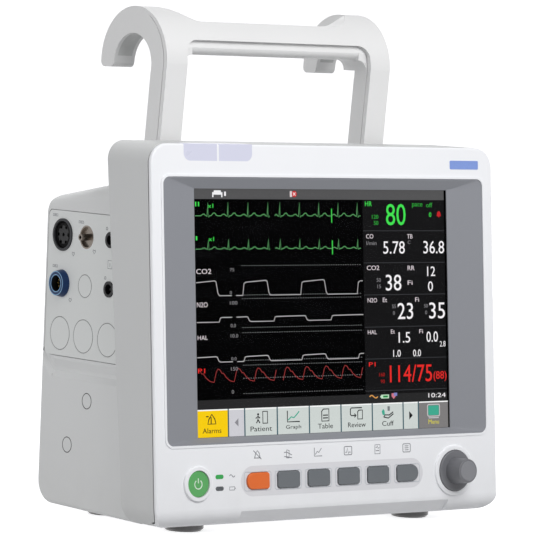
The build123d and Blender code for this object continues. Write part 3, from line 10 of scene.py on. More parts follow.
import bmesh
import bpy
from mathutils import Matrix, Vector


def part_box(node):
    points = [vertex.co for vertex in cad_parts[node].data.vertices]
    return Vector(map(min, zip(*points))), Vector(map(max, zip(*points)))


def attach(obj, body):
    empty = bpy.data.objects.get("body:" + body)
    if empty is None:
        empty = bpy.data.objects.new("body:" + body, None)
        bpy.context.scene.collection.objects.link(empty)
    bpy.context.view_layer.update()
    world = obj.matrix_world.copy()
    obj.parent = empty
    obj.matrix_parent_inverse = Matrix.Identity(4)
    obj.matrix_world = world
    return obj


bl_info = {
    "name": "Patient monitor",
    "version": (1, 0, 0),
    "blender": (4, 5, 0),
    "location": "View3D > Sidebar > Monitor",
    "description": "Finishes, display picture, printed marks and stage of a bedside patient monitor",
    "category": "Object",
}

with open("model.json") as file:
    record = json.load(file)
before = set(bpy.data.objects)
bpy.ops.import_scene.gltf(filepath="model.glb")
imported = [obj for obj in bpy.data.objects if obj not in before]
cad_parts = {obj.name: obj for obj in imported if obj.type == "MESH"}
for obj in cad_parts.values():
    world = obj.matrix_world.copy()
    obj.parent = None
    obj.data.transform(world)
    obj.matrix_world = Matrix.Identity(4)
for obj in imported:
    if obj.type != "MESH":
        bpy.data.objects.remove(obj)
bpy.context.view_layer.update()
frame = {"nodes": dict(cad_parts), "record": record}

MM = 0.001
FRONT_TILT = math.radians(5.2)      # the face leans back from upright
PANEL_SETBACK = 10.35 * MM          # middle of the display panel behind the bezel's face
OPENING_HALF = Vector((105.6, 79.2))
PICTURE_W = -6.5                    # the display panel's front face
INK_LEVEL = 0.02                    # height of a printed mark's middle above its face
DUST_TOP = 70 * MM                  # dust gathers below this height
KEYS = ["key_mute", "key_nibp", "key_trend", "key_freeze", "key_record", "key_menu"]


# ---------------------------------------------------------------- places

def place_of(across, up, outward, origin):
    """From millimetres along three directions to metres in the frame."""
    turned = Matrix((Vector(across) * MM, Vector(up) * MM, Vector(outward) * MM)).transposed()
    place = turned.to_4x4()
    place.translation = origin
    return place


def front_place():
    """Millimetres across, up and out of the leaning front face."""
    low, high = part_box("display_panel")
    up = (0, math.sin(FRONT_TILT), math.cos(FRONT_TILT))
    outward = (0, -math.cos(FRONT_TILT), math.sin(FRONT_TILT))
    return place_of((1, 0, 0), up, outward, (low + high) / 2 + Vector(outward) * PANEL_SETBACK)


def side_place():
    """Millimetres forward, up and out of the socket panel."""
    return place_of((0, -1, 0), (0, 0, 1), (-1, 0, 0), Vector((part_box("side_panel")[0].x, 0, 0)))


def rear_place():
    """Millimetres across as seen from behind, up and out of the back."""
    return place_of((-1, 0, 0), (0, 0, 1), (0, 1, 0), Vector((0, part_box("rear_housing")[1].y, 0)))


FRONT = front_place()
SIDE = side_place()
REAR = rear_place()


def on_front(node):
    """A node's middle across and up the front face, in millimetres."""
    low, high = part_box(node)
    middle = FRONT.inverted() @ ((low + high) / 2)
    return middle.x, middle.y


def on_side(node):
    """A node's lowest and highest corner on the socket panel, in millimetres forward and up."""
    low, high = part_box(node)
    return (-high.y / MM, low.z / MM), (-low.y / MM, high.z / MM)


# ---------------------------------------------------------------- colours and sizes

def tone(red, green, blue):
    """Screen levels from 0 to 255 as the linear colour that shaders take."""
    return tuple(((level / 255 + 0.055) / 1.055) ** 2.4 for level in (red, green, blue))


def colour_field(name, description, levels):
    return bpy.props.FloatVectorProperty(name=name, description=description, default=tone(*levels),
                                         subtype="COLOR", size=3, min=0, max=1)


def length_field(name, description, millimetres):
    return bpy.props.FloatProperty(name=name, description=description, default=millimetres * MM,
                                   subtype="DISTANCE", unit="LENGTH", min=0, precision=5)


def angle_field(name, description, degrees):
    return bpy.props.FloatProperty(name=name, description=description, default=math.radians(degrees),
                                   subtype="ANGLE")


class MonitorCaseColours(bpy.types.PropertyGroup):
    """Colours of the case, its rubber and its lamps."""
    bezel: colour_field("Bezel", "Near-white front bezel", (240, 241, 244))
    surround: colour_field("Display surround", "Sloping grey frame round the display", (134, 136, 142))
    front_housing: colour_field("Front housing", "Grey front half of the case", (204, 205, 205))
    rear_housing: colour_field("Rear housing", "Light grey rear half of the case", (216, 217, 217))
    side_panel: colour_field("Socket panel", "Panel that carries the patient sockets", (220, 222, 221))
    handle: colour_field("Handle", "Carrying handle and hooks", (224, 224, 224))
    seal: colour_field("Seal", "Dark seal behind the bezel", (70, 71, 76))
    pad: colour_field("Grey rubber", "Hook pads and keypad mat", (196, 197, 196))
    foot: colour_field("Feet", "Dark rubber feet", (56, 54, 54))
    lamp: colour_field("Alarm lamps", "Frosted lenses along the top edge", (204, 205, 222))


class MonitorControlColours(bpy.types.PropertyGroup):
    """Colours of the keys, knob, buttons and sockets."""
    strip: colour_field("Key strip", "Plate round the six keys", (222, 222, 226))
    key: colour_field("Grey keys", "Five grey keys", (99, 104, 109))
    mute: colour_field("Alarm key", "Orange key for silencing the alarm", (228, 102, 12))
    power: colour_field("Power button", "Green power button", (82, 168, 90))
    lit_led: colour_field("Lit window", "Mains light when on", (44, 158, 74))
    dark_led: colour_field("Unlit window", "Battery light when off", (84, 88, 92))
    knob: colour_field("Knob", "Dark grey knob body", (106, 107, 112))
    knob_cap: colour_field("Knob cap", "Lighter insert on the knob's end", (128, 129, 134))
    ink: colour_field("Printed marks", "Ink of the symbols on the case", (120, 122, 128))
    badge: colour_field("Blank badge", "Plain plate at the top right", (126, 152, 216))
    socket_blue: colour_field("Oximeter socket", "Blue socket on the side", (16, 48, 92))
    socket_grey: colour_field("Grey sockets", "Dark grey socket bodies", (52, 53, 56))


class MonitorDisplay(bpy.types.PropertyGroup):
    """Picture on the display."""
    trace_width: length_field("Trace width", "Width of a wave trace", 0.46)
    dot_pitch: length_field("Dot pitch", "Spacing of the dots in a scale line", 2.0)
    dot_length: length_field("Dot length", "Length of one dot", 0.8)
    glow: bpy.props.FloatProperty(name="Glow", description="Brightness of the picture", default=1.0,
                                  min=0, max=5, subtype="FACTOR")
    heart: colour_field("Heart traces", "Green of the heart traces", (60, 214, 76))
    gas: colour_field("Gas traces", "Near-white of the gas traces", (200, 197, 200))
    pressure: colour_field("Pressure", "Red of the pressure trace and reading", (222, 38, 34))
    bar: colour_field("Top bar", "Grey bar along the top", (84, 84, 85))
    status: colour_field("Status row", "Dark row above the buttons", (36, 36, 37))
    button: colour_field("Buttons", "Pale screen buttons", (208, 215, 212))
    warning: colour_field("Alarm button", "Yellow screen button", (252, 208, 4))
    menu: colour_field("Menu button", "Grey screen button", (128, 126, 126))
    teal: colour_field("Icon teal", "Green-blue used in the icons", (64, 170, 144))


class MonitorMarks(bpy.types.PropertyGroup):
    """Printed symbols and small parts."""
    stroke: length_field("Stroke", "Line width of a printed symbol", 0.5)
    relief: length_field("Ink relief", "Thickness of a printed mark", 0.06)
    symbol_size: length_field("Symbol size", "Size of a symbol above a key", 6.4)
    symbol_rise: length_field("Symbol rise", "From a key's middle up to its symbol", 16.6)
    key_frame_gap: length_field("Key frame gap", "From a key's edge to its frame line", 0.35)
    key_frame_width: length_field("Key frame width", "Width of the light line round a key", 0.7)
    contact_radius: length_field("Contact radius", "Radius of a socket contact", 0.75)


class MonitorStage(bpy.types.PropertyGroup):
    """Floor, lights and camera."""
    floor: colour_field("Floor", "Plain pale floor", (250, 250, 251))
    floor_half: bpy.props.FloatProperty(name="Floor half width", description="Half the floor's width",
                                        default=8.0, unit="LENGTH", subtype="DISTANCE")
    softbox_power: bpy.props.FloatProperty(name="Softbox power", description="Large light in front",
                                           default=22.0, min=0, unit="POWER")
    surroundings: bpy.props.FloatProperty(name="Surroundings", description="Brightness of the room",
                                          default=0.36, min=0, max=3)
    camera_offset: bpy.props.FloatVectorProperty(name="Camera offset", default=(-1.55778, -1.90953, 0.17876),
                                                 description="From the display's middle to the camera",
                                                 size=3, subtype="TRANSLATION", unit="LENGTH", precision=5)
    camera_heading: angle_field("Camera heading", "Turn of the view from straight ahead", 38.25)
    camera_dip: angle_field("Camera dip", "How far the view looks down", 3.54)
    camera_roll: angle_field("Camera roll", "Turn of the view about its own line", 2.26)
    lens: bpy.props.FloatProperty(name="Lens", description="Focal length in millimetres", default=255.2,
                                  min=10, max=1000)


# ---------------------------------------------------------------- shader nodes

class Wire:
    """One socket of a material's nodes. Arithmetic on it adds Math nodes."""

    def __init__(self, tree, socket):
        self.tree = tree
        self.socket = socket

    def maths(self, operation, first, second):
        node = self.tree.nodes.new("ShaderNodeMath")
        node.operation = operation
        join(self.tree, first, node.inputs[0])
        join(self.tree, second, node.inputs[1])
        return Wire(self.tree, node.outputs[0])

    def __add__(self, other):
        return self.maths("ADD", self, other)

    def __radd__(self, other):
        return self.maths("ADD", other, self)

    def __sub__(self, other):
        return self.maths("SUBTRACT", self, other)

    def __rsub__(self, other):
        return self.maths("SUBTRACT", other, self)

    def __mul__(self, other):
        return self.maths("MULTIPLY", self, other)

    def __rmul__(self, other):
        return self.maths("MULTIPLY", other, self)


def join(tree, value, socket):
    """Links a wire to a socket, or sets the socket to a plain value."""
    if isinstance(value, Wire):
        tree.links.new(value.socket, socket)
    elif hasattr(value, "__len__") and len(value) == 3 and socket.type == "RGBA":
        socket.default_value = (*value, 1)
    else:
        socket.default_value = value


class Finish:
    """A node material being put together, with the shader's own sockets set by name."""

    def __init__(self, name):
        self.material = bpy.data.materials.new(name)
        self.material.use_nodes = True
        self.tree = self.material.node_tree
        self.shader = self.tree.nodes["Principled BSDF"]

    def add(self, kind, settings, inputs, output=0):
        """Adds a node: its settings first, then its sockets, by name or number."""
        node = self.tree.nodes.new(kind)
        for key, value in settings.items():
            setattr(node, key, value)
        for key, value in inputs.items():
            join(self.tree, value, node.inputs[key])
        return Wire(self.tree, node.outputs[output])

    def spot(self):
        return self.add("ShaderNodeTexCoord", {}, {}, "Object")

    def part(self, axis):
        """The object coordinate along X, Y or Z."""
        return self.add("ShaderNodeSeparateXYZ", {}, {"Vector": self.spot()}, axis)

    def noise(self, scale, detail=2.0, roughness=0.5):
        return self.add("ShaderNodeTexNoise", {}, {"Vector": self.spot(), "Scale": scale, "Detail": detail,
                                                   "Roughness": roughness}, "Fac")

    def stretched_noise(self, stretch, scale, detail=2.0):
        turned = self.add("ShaderNodeMapping", {}, {"Vector": self.spot(), "Scale": stretch})
        return self.add("ShaderNodeTexNoise", {}, {"Vector": turned, "Scale": scale, "Detail": detail}, "Fac")

    def between(self, value, low, high):
        """0 below low, 1 above high, and smooth between them."""
        return self.add("ShaderNodeMapRange", {"interpolation_type": "SMOOTHSTEP"},
                        {"Value": value, "From Min": low, "From Max": high})

    def blend(self, factor, first, second):
        return self.add("ShaderNodeMix", {"data_type": "RGBA"}, {0: factor, 6: first, 7: second}, 2)

    def bump(self, height, distance, strength=1.0):
        return self.add("ShaderNodeBump", {}, {"Height": height, "Distance": distance, "Strength": strength})

    def paint(self, **sockets):
        for key, value in sockets.items():
            join(self.tree, value, self.shader.inputs[key.replace("_", " ")])
        return self.material


def lighter(colour, share):
    return tuple(min(1.0, level * share) for level in colour)


def moulded_plastic(name, colour, roughness=0.42, grain=0.10, handling=0.25, gloss=0.5):
    """Moulded plastic: spark-eroded grain, slow colour drift, rubbed patches and dust low down."""
    finish = Finish(name)
    drift = finish.noise(14, 3)
    grain_field = finish.noise(1500, 2)
    rubbed = finish.between(finish.noise(38, 5, 0.65), 0.58, 0.74)
    dust = finish.between(finish.part("Z"), DUST_TOP, 0.0) * finish.noise(60, 4)
    colours = finish.blend(drift, lighter(colour, 0.975), lighter(colour, 1.02))
    colours = finish.blend(rubbed * handling * 0.30, colours, lighter(colour, 1.06))
    colours = finish.blend(dust * 0.16, colours, tone(150, 146, 138))
    return finish.paint(Base_Color=colours,
                        Roughness=roughness + 0.07 * drift - 0.12 * rubbed * handling + 0.04 * grain_field,
                        Normal=finish.bump(grain_field, 0.00004, grain),
                        IOR=1.5, Specular_IOR_Level=gloss)


def soft_rubber(name, colour, roughness=0.6, shine=0.0):
    """Rubber: fine mottling, a pale bloom and scuffs that dull it."""
    finish = Finish(name)
    mottle = finish.noise(160, 4)
    bloom = finish.between(finish.noise(46, 4, 0.6), 0.52, 0.72)
    colours = finish.blend(mottle, lighter(colour, 0.85), lighter(colour, 1.15))
    colours = finish.blend(bloom * 0.14, colours, tone(168, 164, 158))
    return finish.paint(Base_Color=colours, Roughness=roughness + 0.12 * bloom,
                        Coat_Weight=shine, Coat_Roughness=0.22,
                        Normal=finish.bump(mottle, 0.00006, 0.2))


def brushed_metal(name, colour, roughness=0.32, stretch=(1, 1, 22), scale=160):
    """Sheet or turned metal: drawn lines, stains and tiny scratches."""
    finish = Finish(name)
    lines = finish.stretched_noise(stretch, scale, 3)
    stain = finish.noise(30, 4, 0.6)
    scratch = finish.between(finish.stretched_noise((1, 7, 1), 260, 2), 0.66, 0.72)
    colours = finish.blend(lines, lighter(colour, 0.82), lighter(colour, 1.08))
    colours = finish.blend(finish.between(stain, 0.5, 0.8) * 0.3, colours, lighter(colour, 0.6))
    return finish.paint(Base_Color=colours, Metallic=1.0, Roughness=roughness + 0.14 * stain - 0.08 * scratch,
                        Normal=finish.bump(lines, 0.00003, 0.25))


def circuit_board(name, colour):
    """Solder-mask green over copper tracks, with pale pads and flux marks."""
    finish = Finish(name)
    tracks = finish.add("ShaderNodeTexBrick", {"offset": 0.35},
                        {"Vector": finish.spot(), "Scale": 130.0, "Color1": lighter(colour, 0.9),
                         "Color2": lighter(colour, 1.1), "Mortar": lighter(colour, 1.9), "Mortar Size": 0.05})
    pads = finish.add("ShaderNodeTexVoronoi", {}, {"Vector": finish.spot(), "Scale": 320.0}, "Distance")
    pad_mask = 1 - finish.between(pads, 0.10, 0.14)
    flux = finish.noise(90, 3)
    colours = finish.blend(pad_mask, tracks, tone(196, 190, 170))
    return finish.paint(Base_Color=colours, Roughness=0.34 + 0.2 * flux,
                        Normal=finish.bump(pads, 0.00008, 0.3))


def clear_window(name):
    """Clear acrylic window: wipe marks show faintly in its gloss."""
    finish = Finish(name)
    wipe = finish.stretched_noise((1, 1, 5), 26, 4)
    smear = finish.between(wipe, 0.45, 0.8)
    return finish.paint(Base_Color=finish.blend(smear, tone(24, 25, 28), tone(58, 60, 64)),
                        Alpha=0.015 + 0.015 * smear, Roughness=0.08 + 0.16 * smear,
                        Normal=finish.bump(wipe, 0.00002, 0.05))


def dark_panel(name):
    """The display panel where no light comes through: black, with a very fine cell pattern."""
    finish = Finish(name)
    cells = finish.add("ShaderNodeTexVoronoi", {}, {"Vector": finish.spot(), "Scale": 1800.0}, "Distance")
    haze = finish.noise(24, 3)
    return finish.paint(Base_Color=finish.blend(haze, tone(1, 1, 1), tone(3, 3, 4)), Specular_IOR_Level=0.0,
                        Roughness=0.34 + 0.1 * haze, Normal=finish.bump(cells, 0.00002, 0.1))


def frosted_lens(name, colour):
    """Frosted lamp lens with inner prisms and a faint glow of its own."""
    finish = Finish(name)
    prisms = finish.add("ShaderNodeTexWave", {"bands_direction": "X"},
                        {"Vector": finish.spot(), "Scale": 400.0, "Distortion": 0.2}, "Fac")
    cloud = finish.noise(40, 3)
    colours = finish.blend(prisms, lighter(colour, 0.985), lighter(colour, 1.015))
    return finish.paint(Base_Color=colours, Roughness=0.24 + 0.12 * cloud, Coat_Weight=0.25,
                        Emission_Color=finish.blend(cloud, lighter(colour, 0.9), colour),
                        Emission_Strength=0.12,
                        Normal=finish.bump(prisms, 0.00005, 0.15))


def status_windows(name, lit, unlit):
    """The two little windows: the upper one lit, the lower one dark."""
    finish = Finish(name)
    low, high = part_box("led_windows")
    middle = (low.z + high.z) / 2
    upper = finish.between(finish.part("Z"), middle - 0.0004, middle + 0.0004)
    cloud = finish.noise(420, 2)
    return finish.paint(Base_Color=finish.blend(upper, unlit, lit), Roughness=0.2 + 0.15 * cloud,
                        Emission_Color=finish.blend(upper, (0, 0, 0), lit), Emission_Strength=0.08,
                        Normal=finish.bump(cloud, 0.00003, 0.2))


def rolled_paper(name):
    """Thermal paper on its roll: edge lines of the windings and soft fibres."""
    finish = Finish(name)
    fibre = finish.noise(900, 4)
    windings = finish.add("ShaderNodeTexWave", {"wave_type": "RINGS", "rings_direction": "X"},
                          {"Vector": finish.spot(), "Scale": 300.0, "Distortion": 0.6}, "Fac")
    colours = finish.blend(fibre, tone(232, 230, 224), tone(246, 245, 242))
    colours = finish.blend(windings * 0.2, colours, tone(206, 203, 196))
    return finish.paint(Base_Color=colours, Roughness=0.75 + 0.1 * fibre,
                        Normal=finish.bump(fibre, 0.00005, 0.3))


def wrapped_film(name, colour):
    """Shrink film round the battery: soft creases and a glossy skin."""
    finish = Finish(name)
    crease = finish.stretched_noise((4, 1, 1), 55, 4)
    colours = finish.blend(crease, lighter(colour, 0.8), lighter(colour, 1.2))
    return finish.paint(Base_Color=colours, Roughness=0.2 + 0.25 * crease,
                        Normal=finish.bump(crease, 0.0003, 0.4))


def screen_light(name, colour, glow):
    """A lit area of the picture, very slightly uneven as its cells are."""
    finish = Finish(name)
    cells = finish.noise(1300, 1)
    level = finish.blend(cells, lighter(colour, 0.93), lighter(colour, 1.05))
    return finish.paint(Base_Color=finish.blend(cells, (0.004, 0.004, 0.004), (0.01, 0.01, 0.01)),
                        Roughness=0.5 + 0.1 * cells, Emission_Color=level, Emission_Strength=glow,
                        Specular_IOR_Level=0.0)


def printed_ink_and_painted_light(name, colour, roughness=0.5):
    """Pad-printed ink, and the same finish for rings of painted shade and painted highlight: thin places and
    a slight ridge.
    """
    finish = Finish(name)
    thin = finish.noise(700, 3)
    worn = finish.between(finish.noise(120, 4, 0.6), 0.62, 0.78)
    colours = finish.blend(thin, lighter(colour, 0.9), lighter(colour, 1.1))
    colours = finish.blend(worn * 0.25, colours, lighter(colour, 1.6))
    return finish.paint(Base_Color=colours, Roughness=roughness + 0.15 * thin,
                        Normal=finish.bump(thin, 0.00002, 0.2))


def gold_plate(name):
    """Gold-plated contact with a wiped track."""
    finish = Finish(name)
    wipe = finish.stretched_noise((1, 9, 1), 900, 2)
    return finish.paint(Base_Color=finish.blend(wipe, tone(176, 136, 66), tone(226, 190, 112)), Metallic=1.0,
                        Roughness=0.2 + 0.2 * wipe, Normal=finish.bump(wipe, 0.00002, 0.2))


# ---------------------------------------------------------------- geometry nodes

class Workshop:
    """A Geometry Nodes tree being built, with named inputs after its geometry."""

    def __init__(self, name, inputs):
        self.tree = bpy.data.node_groups.new(name, "GeometryNodeTree")
        face = self.tree.interface
        face.new_socket("Geometry", in_out="INPUT", socket_type="NodeSocketGeometry")
        for label, kind in inputs:
            face.new_socket(label, in_out="INPUT", socket_type=f"NodeSocket{kind}")
        face.new_socket("Geometry", in_out="OUTPUT", socket_type="NodeSocketGeometry")
        self.given = self.tree.nodes.new("NodeGroupInput").outputs

    def add(self, kind, settings=None, **inputs):
        node = self.tree.nodes.new(kind)
        for key, value in (settings or {}).items():
            setattr(node, key, value)
        for key, value in inputs.items():
            socket = node.inputs[key.replace("_", " ")]
            if isinstance(value, bpy.types.NodeSocket):
                self.tree.links.new(value, socket)
            else:
                socket.default_value = value
        return node

    def close(self, geometry):
        """Ends the tree in real geometry of one material."""
        real = self.add("GeometryNodeRealizeInstances", Geometry=geometry)
        painted = self.add("GeometryNodeSetMaterial", Geometry=real.outputs[0], Material=self.given["Finish"])
        last = self.tree.nodes.new("NodeGroupOutput")
        self.tree.links.new(painted.outputs[0], last.inputs[0])
        return self.tree


def stroke_tree():
    """Lines of flat section along every run of edges."""
    shop = Workshop("strokes", [("Width", "Float"), ("Relief", "Float"), ("Finish", "Material")])
    runs = shop.add("GeometryNodeMeshToCurve", Mesh=shop.given["Geometry"])
    section = shop.add("GeometryNodeCurvePrimitiveQuadrilateral", {"mode": "RECTANGLE"},
                       Width=shop.given["Width"], Height=shop.given["Relief"])
    swept = shop.add("GeometryNodeCurveToMesh", Curve=runs.outputs[0], Profile_Curve=section.outputs[0],
                     Fill_Caps=True)
    return shop.close(swept.outputs[0])


def dotted_tree():
    """A row of small dots from every starting point."""
    shop = Workshop("dotted lines", [("Count", "Int"), ("Step", "Vector"), ("Dot", "Vector"),
                                     ("Finish", "Material")])
    row = shop.add("GeometryNodeMeshLine", {"mode": "OFFSET"}, Count=shop.given["Count"],
                   Offset=shop.given["Step"])
    rows = shop.add("GeometryNodeInstanceOnPoints", Points=shop.given["Geometry"], Instance=row.outputs[0])
    places = shop.add("GeometryNodeRealizeInstances", Geometry=rows.outputs[0])
    dot = shop.add("GeometryNodeMeshCube", Size=shop.given["Dot"])
    dots = shop.add("GeometryNodeInstanceOnPoints", Points=places.outputs[0], Instance=dot.outputs[0])
    return shop.close(dots.outputs[0])


def frame_tree():
    """A rounded rectangular line round every point."""
    shop = Workshop("key frames", [("Width", "Float"), ("Height", "Float"), ("Corner", "Float"),
                                   ("Line", "Float"), ("Relief", "Float"), ("Finish", "Material")])
    outline = shop.add("GeometryNodeCurvePrimitiveQuadrilateral", {"mode": "RECTANGLE"},
                       Width=shop.given["Width"], Height=shop.given["Height"])
    rounded_outline = shop.add("GeometryNodeFilletCurve", {"mode": "POLY"}, Curve=outline.outputs[0],
                               Radius=shop.given["Corner"], Count=5)
    section = shop.add("GeometryNodeCurvePrimitiveQuadrilateral", {"mode": "RECTANGLE"},
                       Width=shop.given["Line"], Height=shop.given["Relief"])
    line = shop.add("GeometryNodeCurveToMesh", Curve=rounded_outline.outputs[0],
                    Profile_Curve=section.outputs[0])
    lines = shop.add("GeometryNodeInstanceOnPoints", Points=shop.given["Geometry"], Instance=line.outputs[0])
    return shop.close(lines.outputs[0])


def contact_tree():
    """A ring of round contacts about every point."""
    shop = Workshop("contact rings", [("Count", "Int"), ("Ring", "Float"), ("Radius", "Float"),
                                      ("Length", "Float"), ("Finish", "Material")])
    ring = shop.add("GeometryNodeMeshCircle", Vertices=shop.given["Count"], Radius=shop.given["Ring"])
    rings = shop.add("GeometryNodeInstanceOnPoints", Points=shop.given["Geometry"], Instance=ring.outputs[0])
    places = shop.add("GeometryNodeRealizeInstances", Geometry=rings.outputs[0])
    contact = shop.add("GeometryNodeMeshCylinder", Vertices=14, Radius=shop.given["Radius"],
                       Depth=shop.given["Length"])
    contacts = shop.add("GeometryNodeInstanceOnPoints", Points=places.outputs[0],
                        Instance=contact.outputs[0])
    return shop.close(contacts.outputs[0])


def link_object(name, data):
    piece = bpy.data.objects.new(name, data)
    bpy.context.scene.collection.objects.link(piece)
    return piece


def run_tree(name, mesh, tree, values):
    """The plain mesh that a tree makes from a seed mesh."""
    seed = link_object(name, mesh)
    modifier = seed.modifiers.new("nodes", "NODES")
    modifier.node_group = tree
    for item in tree.interface.items_tree:
        if item.in_out == "INPUT" and item.name in values:
            modifier[item.identifier] = values[item.name]
    view = bpy.context.evaluated_depsgraph_get()
    made = bpy.data.meshes.new_from_object(seed.evaluated_get(view))
    bpy.data.objects.remove(seed)
    if not made.polygons:
        raise RuntimeError(f"{name}: its node tree made nothing")
    return made


def settle(name, mesh, place, body, finish=None):
    """Puts a finished mesh in its place, turns its faces outwards and lets it ride."""
    if place is not None:
        mesh.transform(place)
    sheet = bmesh.new()
    sheet.from_mesh(mesh)
    bmesh.ops.remove_doubles(sheet, verts=sheet.verts, dist=1e-7)
    bmesh.ops.recalc_face_normals(sheet, faces=sheet.faces)
    sheet.to_mesh(mesh)
    sheet.free()
    mesh.name = name
    if finish is not None:
        mesh.materials.clear()
        mesh.materials.append(finish)
    piece = link_object(name, mesh)
    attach(piece, body)
    return piece


def strokes(name, lines, width, relief, place, body, finish, level=0.0):
    """Line work at one level. A line is its points in millimetres, and closes if it ends where it began."""
    mesh = bpy.data.meshes.new(name)
    points = []
    edges = []
    for line in lines:
        loop = len(line) > 2 and line[0] == line[-1]
        run = line[:-1] if loop else line
        first = len(points)
        points += [(x, y, level) for x, y in run]
        edges += [(first + i, first + i + 1) for i in range(len(run) - 1)]
        if loop:
            edges.append((first + len(run) - 1, first))
    mesh.from_pydata(points, edges, [])
    made = run_tree(name, mesh, stroke_tree(), {"Width": width / MM, "Relief": relief / MM, "Finish": finish})
    return settle(name, made, place, body, finish)


def plates(name, shapes, bottom, top, place, body, finish):
    """Flat filled shapes of one thickness, each given by its outline in millimetres."""
    sheet = bmesh.new()
    for outline in shapes:
        low = [sheet.verts.new((p[0], p[1], bottom)) for p in outline]
        high = [sheet.verts.new((p[0], p[1], top)) for p in outline]
        sheet.faces.new(high)
        sheet.faces.new(low[::-1])
        for i in range(len(outline)):
            j = (i + 1) % len(outline)
            sheet.faces.new((low[i], low[j], high[j], high[i]))
    mesh = bpy.data.meshes.new(name)
    sheet.to_mesh(mesh)
    sheet.free()
    return settle(name, mesh, place, body, finish)


def words(name, entries, bottom, top, place, body, finish):
    """Lettering: each entry is its text, left, base, width and height in millimetres."""
    points = []
    faces = []
    for text, left, base, width, height in entries:
        curve = bpy.data.curves.new("letters", "FONT")
        curve.body = text
        curve.resolution_u = 3
        curve.extrude = 0.05        # gives the letters two faces, which bottom and top then place
        typed = link_object("letters", curve)
        view = bpy.context.evaluated_depsgraph_get()
        flat = bpy.data.meshes.new_from_object(typed.evaluated_get(view))
        bpy.data.objects.remove(typed)
        across = [v.co.x for v in flat.vertices]
        up = [v.co.y for v in flat.vertices]
        first = len(points)
        for vertex in flat.vertices:
            x = left + (vertex.co.x - min(across)) / (max(across) - min(across)) * width
            y = base + (vertex.co.y - min(up)) / (max(up) - min(up)) * height
            points.append((x, y, top if vertex.co.z > 0 else bottom))
        faces += [[first + i for i in face.vertices] for face in flat.polygons]
        bpy.data.meshes.remove(flat)
    mesh = bpy.data.meshes.new(name)
    mesh.from_pydata(points, [], faces)
    return settle(name, mesh, place, body, finish)


def box_outline(left, low, right, high):
    return [(left, low), (right, low), (right, high), (left, high)]


def closed(outline):
    return outline + [outline[0]]


def arc(across, up, radius, start, end, steps=10):
    """Points along an arc, with its angles in degrees."""
    angles = [math.radians(start + (end - start) * i / steps) for i in range(steps + 1)]
    return [(across + radius * math.cos(a), up + radius * math.sin(a)) for a in angles]


def disc(across, up, radius, steps=20):
    return arc(across, up, radius, 0, 360, steps)[:-1]


def rounded_box(left, low, right, high, corner, steps=4):
    return (arc(right - corner, low + corner, corner, -90, 0, steps)
            + arc(right - corner, high - corner, corner, 0, 90, steps)
            + arc(left + corner, high - corner, corner, 90, 180, steps)
            + arc(left + corner, low + corner, corner, 180, 270, steps))


def wave(left, middle, length, height):
    """One swing of the sign for alternating current."""
    return [(left + length * i / 10, middle + height * math.sin(i * math.pi / 5)) for i in range(11)]


def moved(line, across, up, scale=1.0):
    return [(across + x * scale, up + y * scale) for x, y in line]


# ---------------------------------------------------------------- finishes of the CAD nodes

def case_finishes(case, controls):
    """Every material slot of the record, with the finish that its nodes take."""
    return {
        "bezel_plastic": moulded_plastic("bezel plastic", case.bezel, 0.40, 0.08),
        "surround_plastic": moulded_plastic("surround plastic", case.surround, 0.46, 0.12),
        "front_housing_plastic": moulded_plastic("front housing plastic", case.front_housing, 0.5, 0.2),
        "rear_housing_plastic": moulded_plastic("rear housing plastic", case.rear_housing, 0.5, 0.2),
        "side_panel_plastic": moulded_plastic("socket panel plastic", case.side_panel, 0.5, 0.16),
        "handle_plastic": moulded_plastic("handle plastic", case.handle, 0.42, 0.12, 0.9),
        "key_strip_plastic": moulded_plastic("key strip plastic", controls.strip, 0.36, 0.06),
        "key_grey": moulded_plastic("grey key plastic", controls.key, 0.38, 0.06, 1.0),
        "key_orange": moulded_plastic("alarm key plastic", controls.mute, 0.38, 0.06, 1.0),
        "power_green": moulded_plastic("power button plastic", controls.power, 0.3, 0.05, 1.0),
        "knob_plastic": moulded_plastic("knob plastic", controls.knob, 0.36, 0.2, 1.0),
        "knob_cap_plastic": moulded_plastic("knob cap plastic", controls.knob_cap, 0.3, 0.1, 1.0),
        "black_plastic": moulded_plastic("black plastic", tone(22, 22, 24), 0.42, 0.2, gloss=0.3),
        "socket_grey": moulded_plastic("grey socket plastic", controls.socket_grey, 0.36, 0.12, gloss=0.2),
        "socket_blue": moulded_plastic("blue socket plastic", controls.socket_blue, 0.26, 0.05, 0.8, 0.25),
        "seal_rubber": soft_rubber("seal rubber", case.seal, 0.7),
        "grey_rubber": soft_rubber("grey rubber", case.pad, 0.66),
        "foot_rubber": soft_rubber("foot rubber", case.foot, 0.34, 0.5),
        "window_glass": clear_window("clear window"),
        "display_black": dark_panel("dark display panel"),
        "lamp_lens": frosted_lens("alarm lamp lens", case.lamp),
        "led_window": status_windows("status windows", controls.lit_led, controls.dark_led),
        "circuit_board": circuit_board("circuit board", tone(28, 96, 60)),
        "sheet_steel": brushed_metal("zinc-plated steel", tone(184, 186, 188), 0.36, (1, 1, 18), 120),
        "aluminium_sheet": brushed_metal("aluminium sheet", tone(206, 208, 210), 0.3, (1, 24, 1), 140),
        "steel": brushed_metal("screw steel", tone(172, 173, 176), 0.28, (1, 6, 1), 500),
        "nickel": brushed_metal("nickel plate", tone(134, 126, 118), 0.24, (1, 5, 5), 700),
        "brass": brushed_metal("brass", tone(196, 160, 88), 0.26, (1, 6, 6), 600),
        "paper": rolled_paper("thermal paper"),
        "battery_wrap": wrapped_film("battery film", tone(52, 74, 112)),
    }


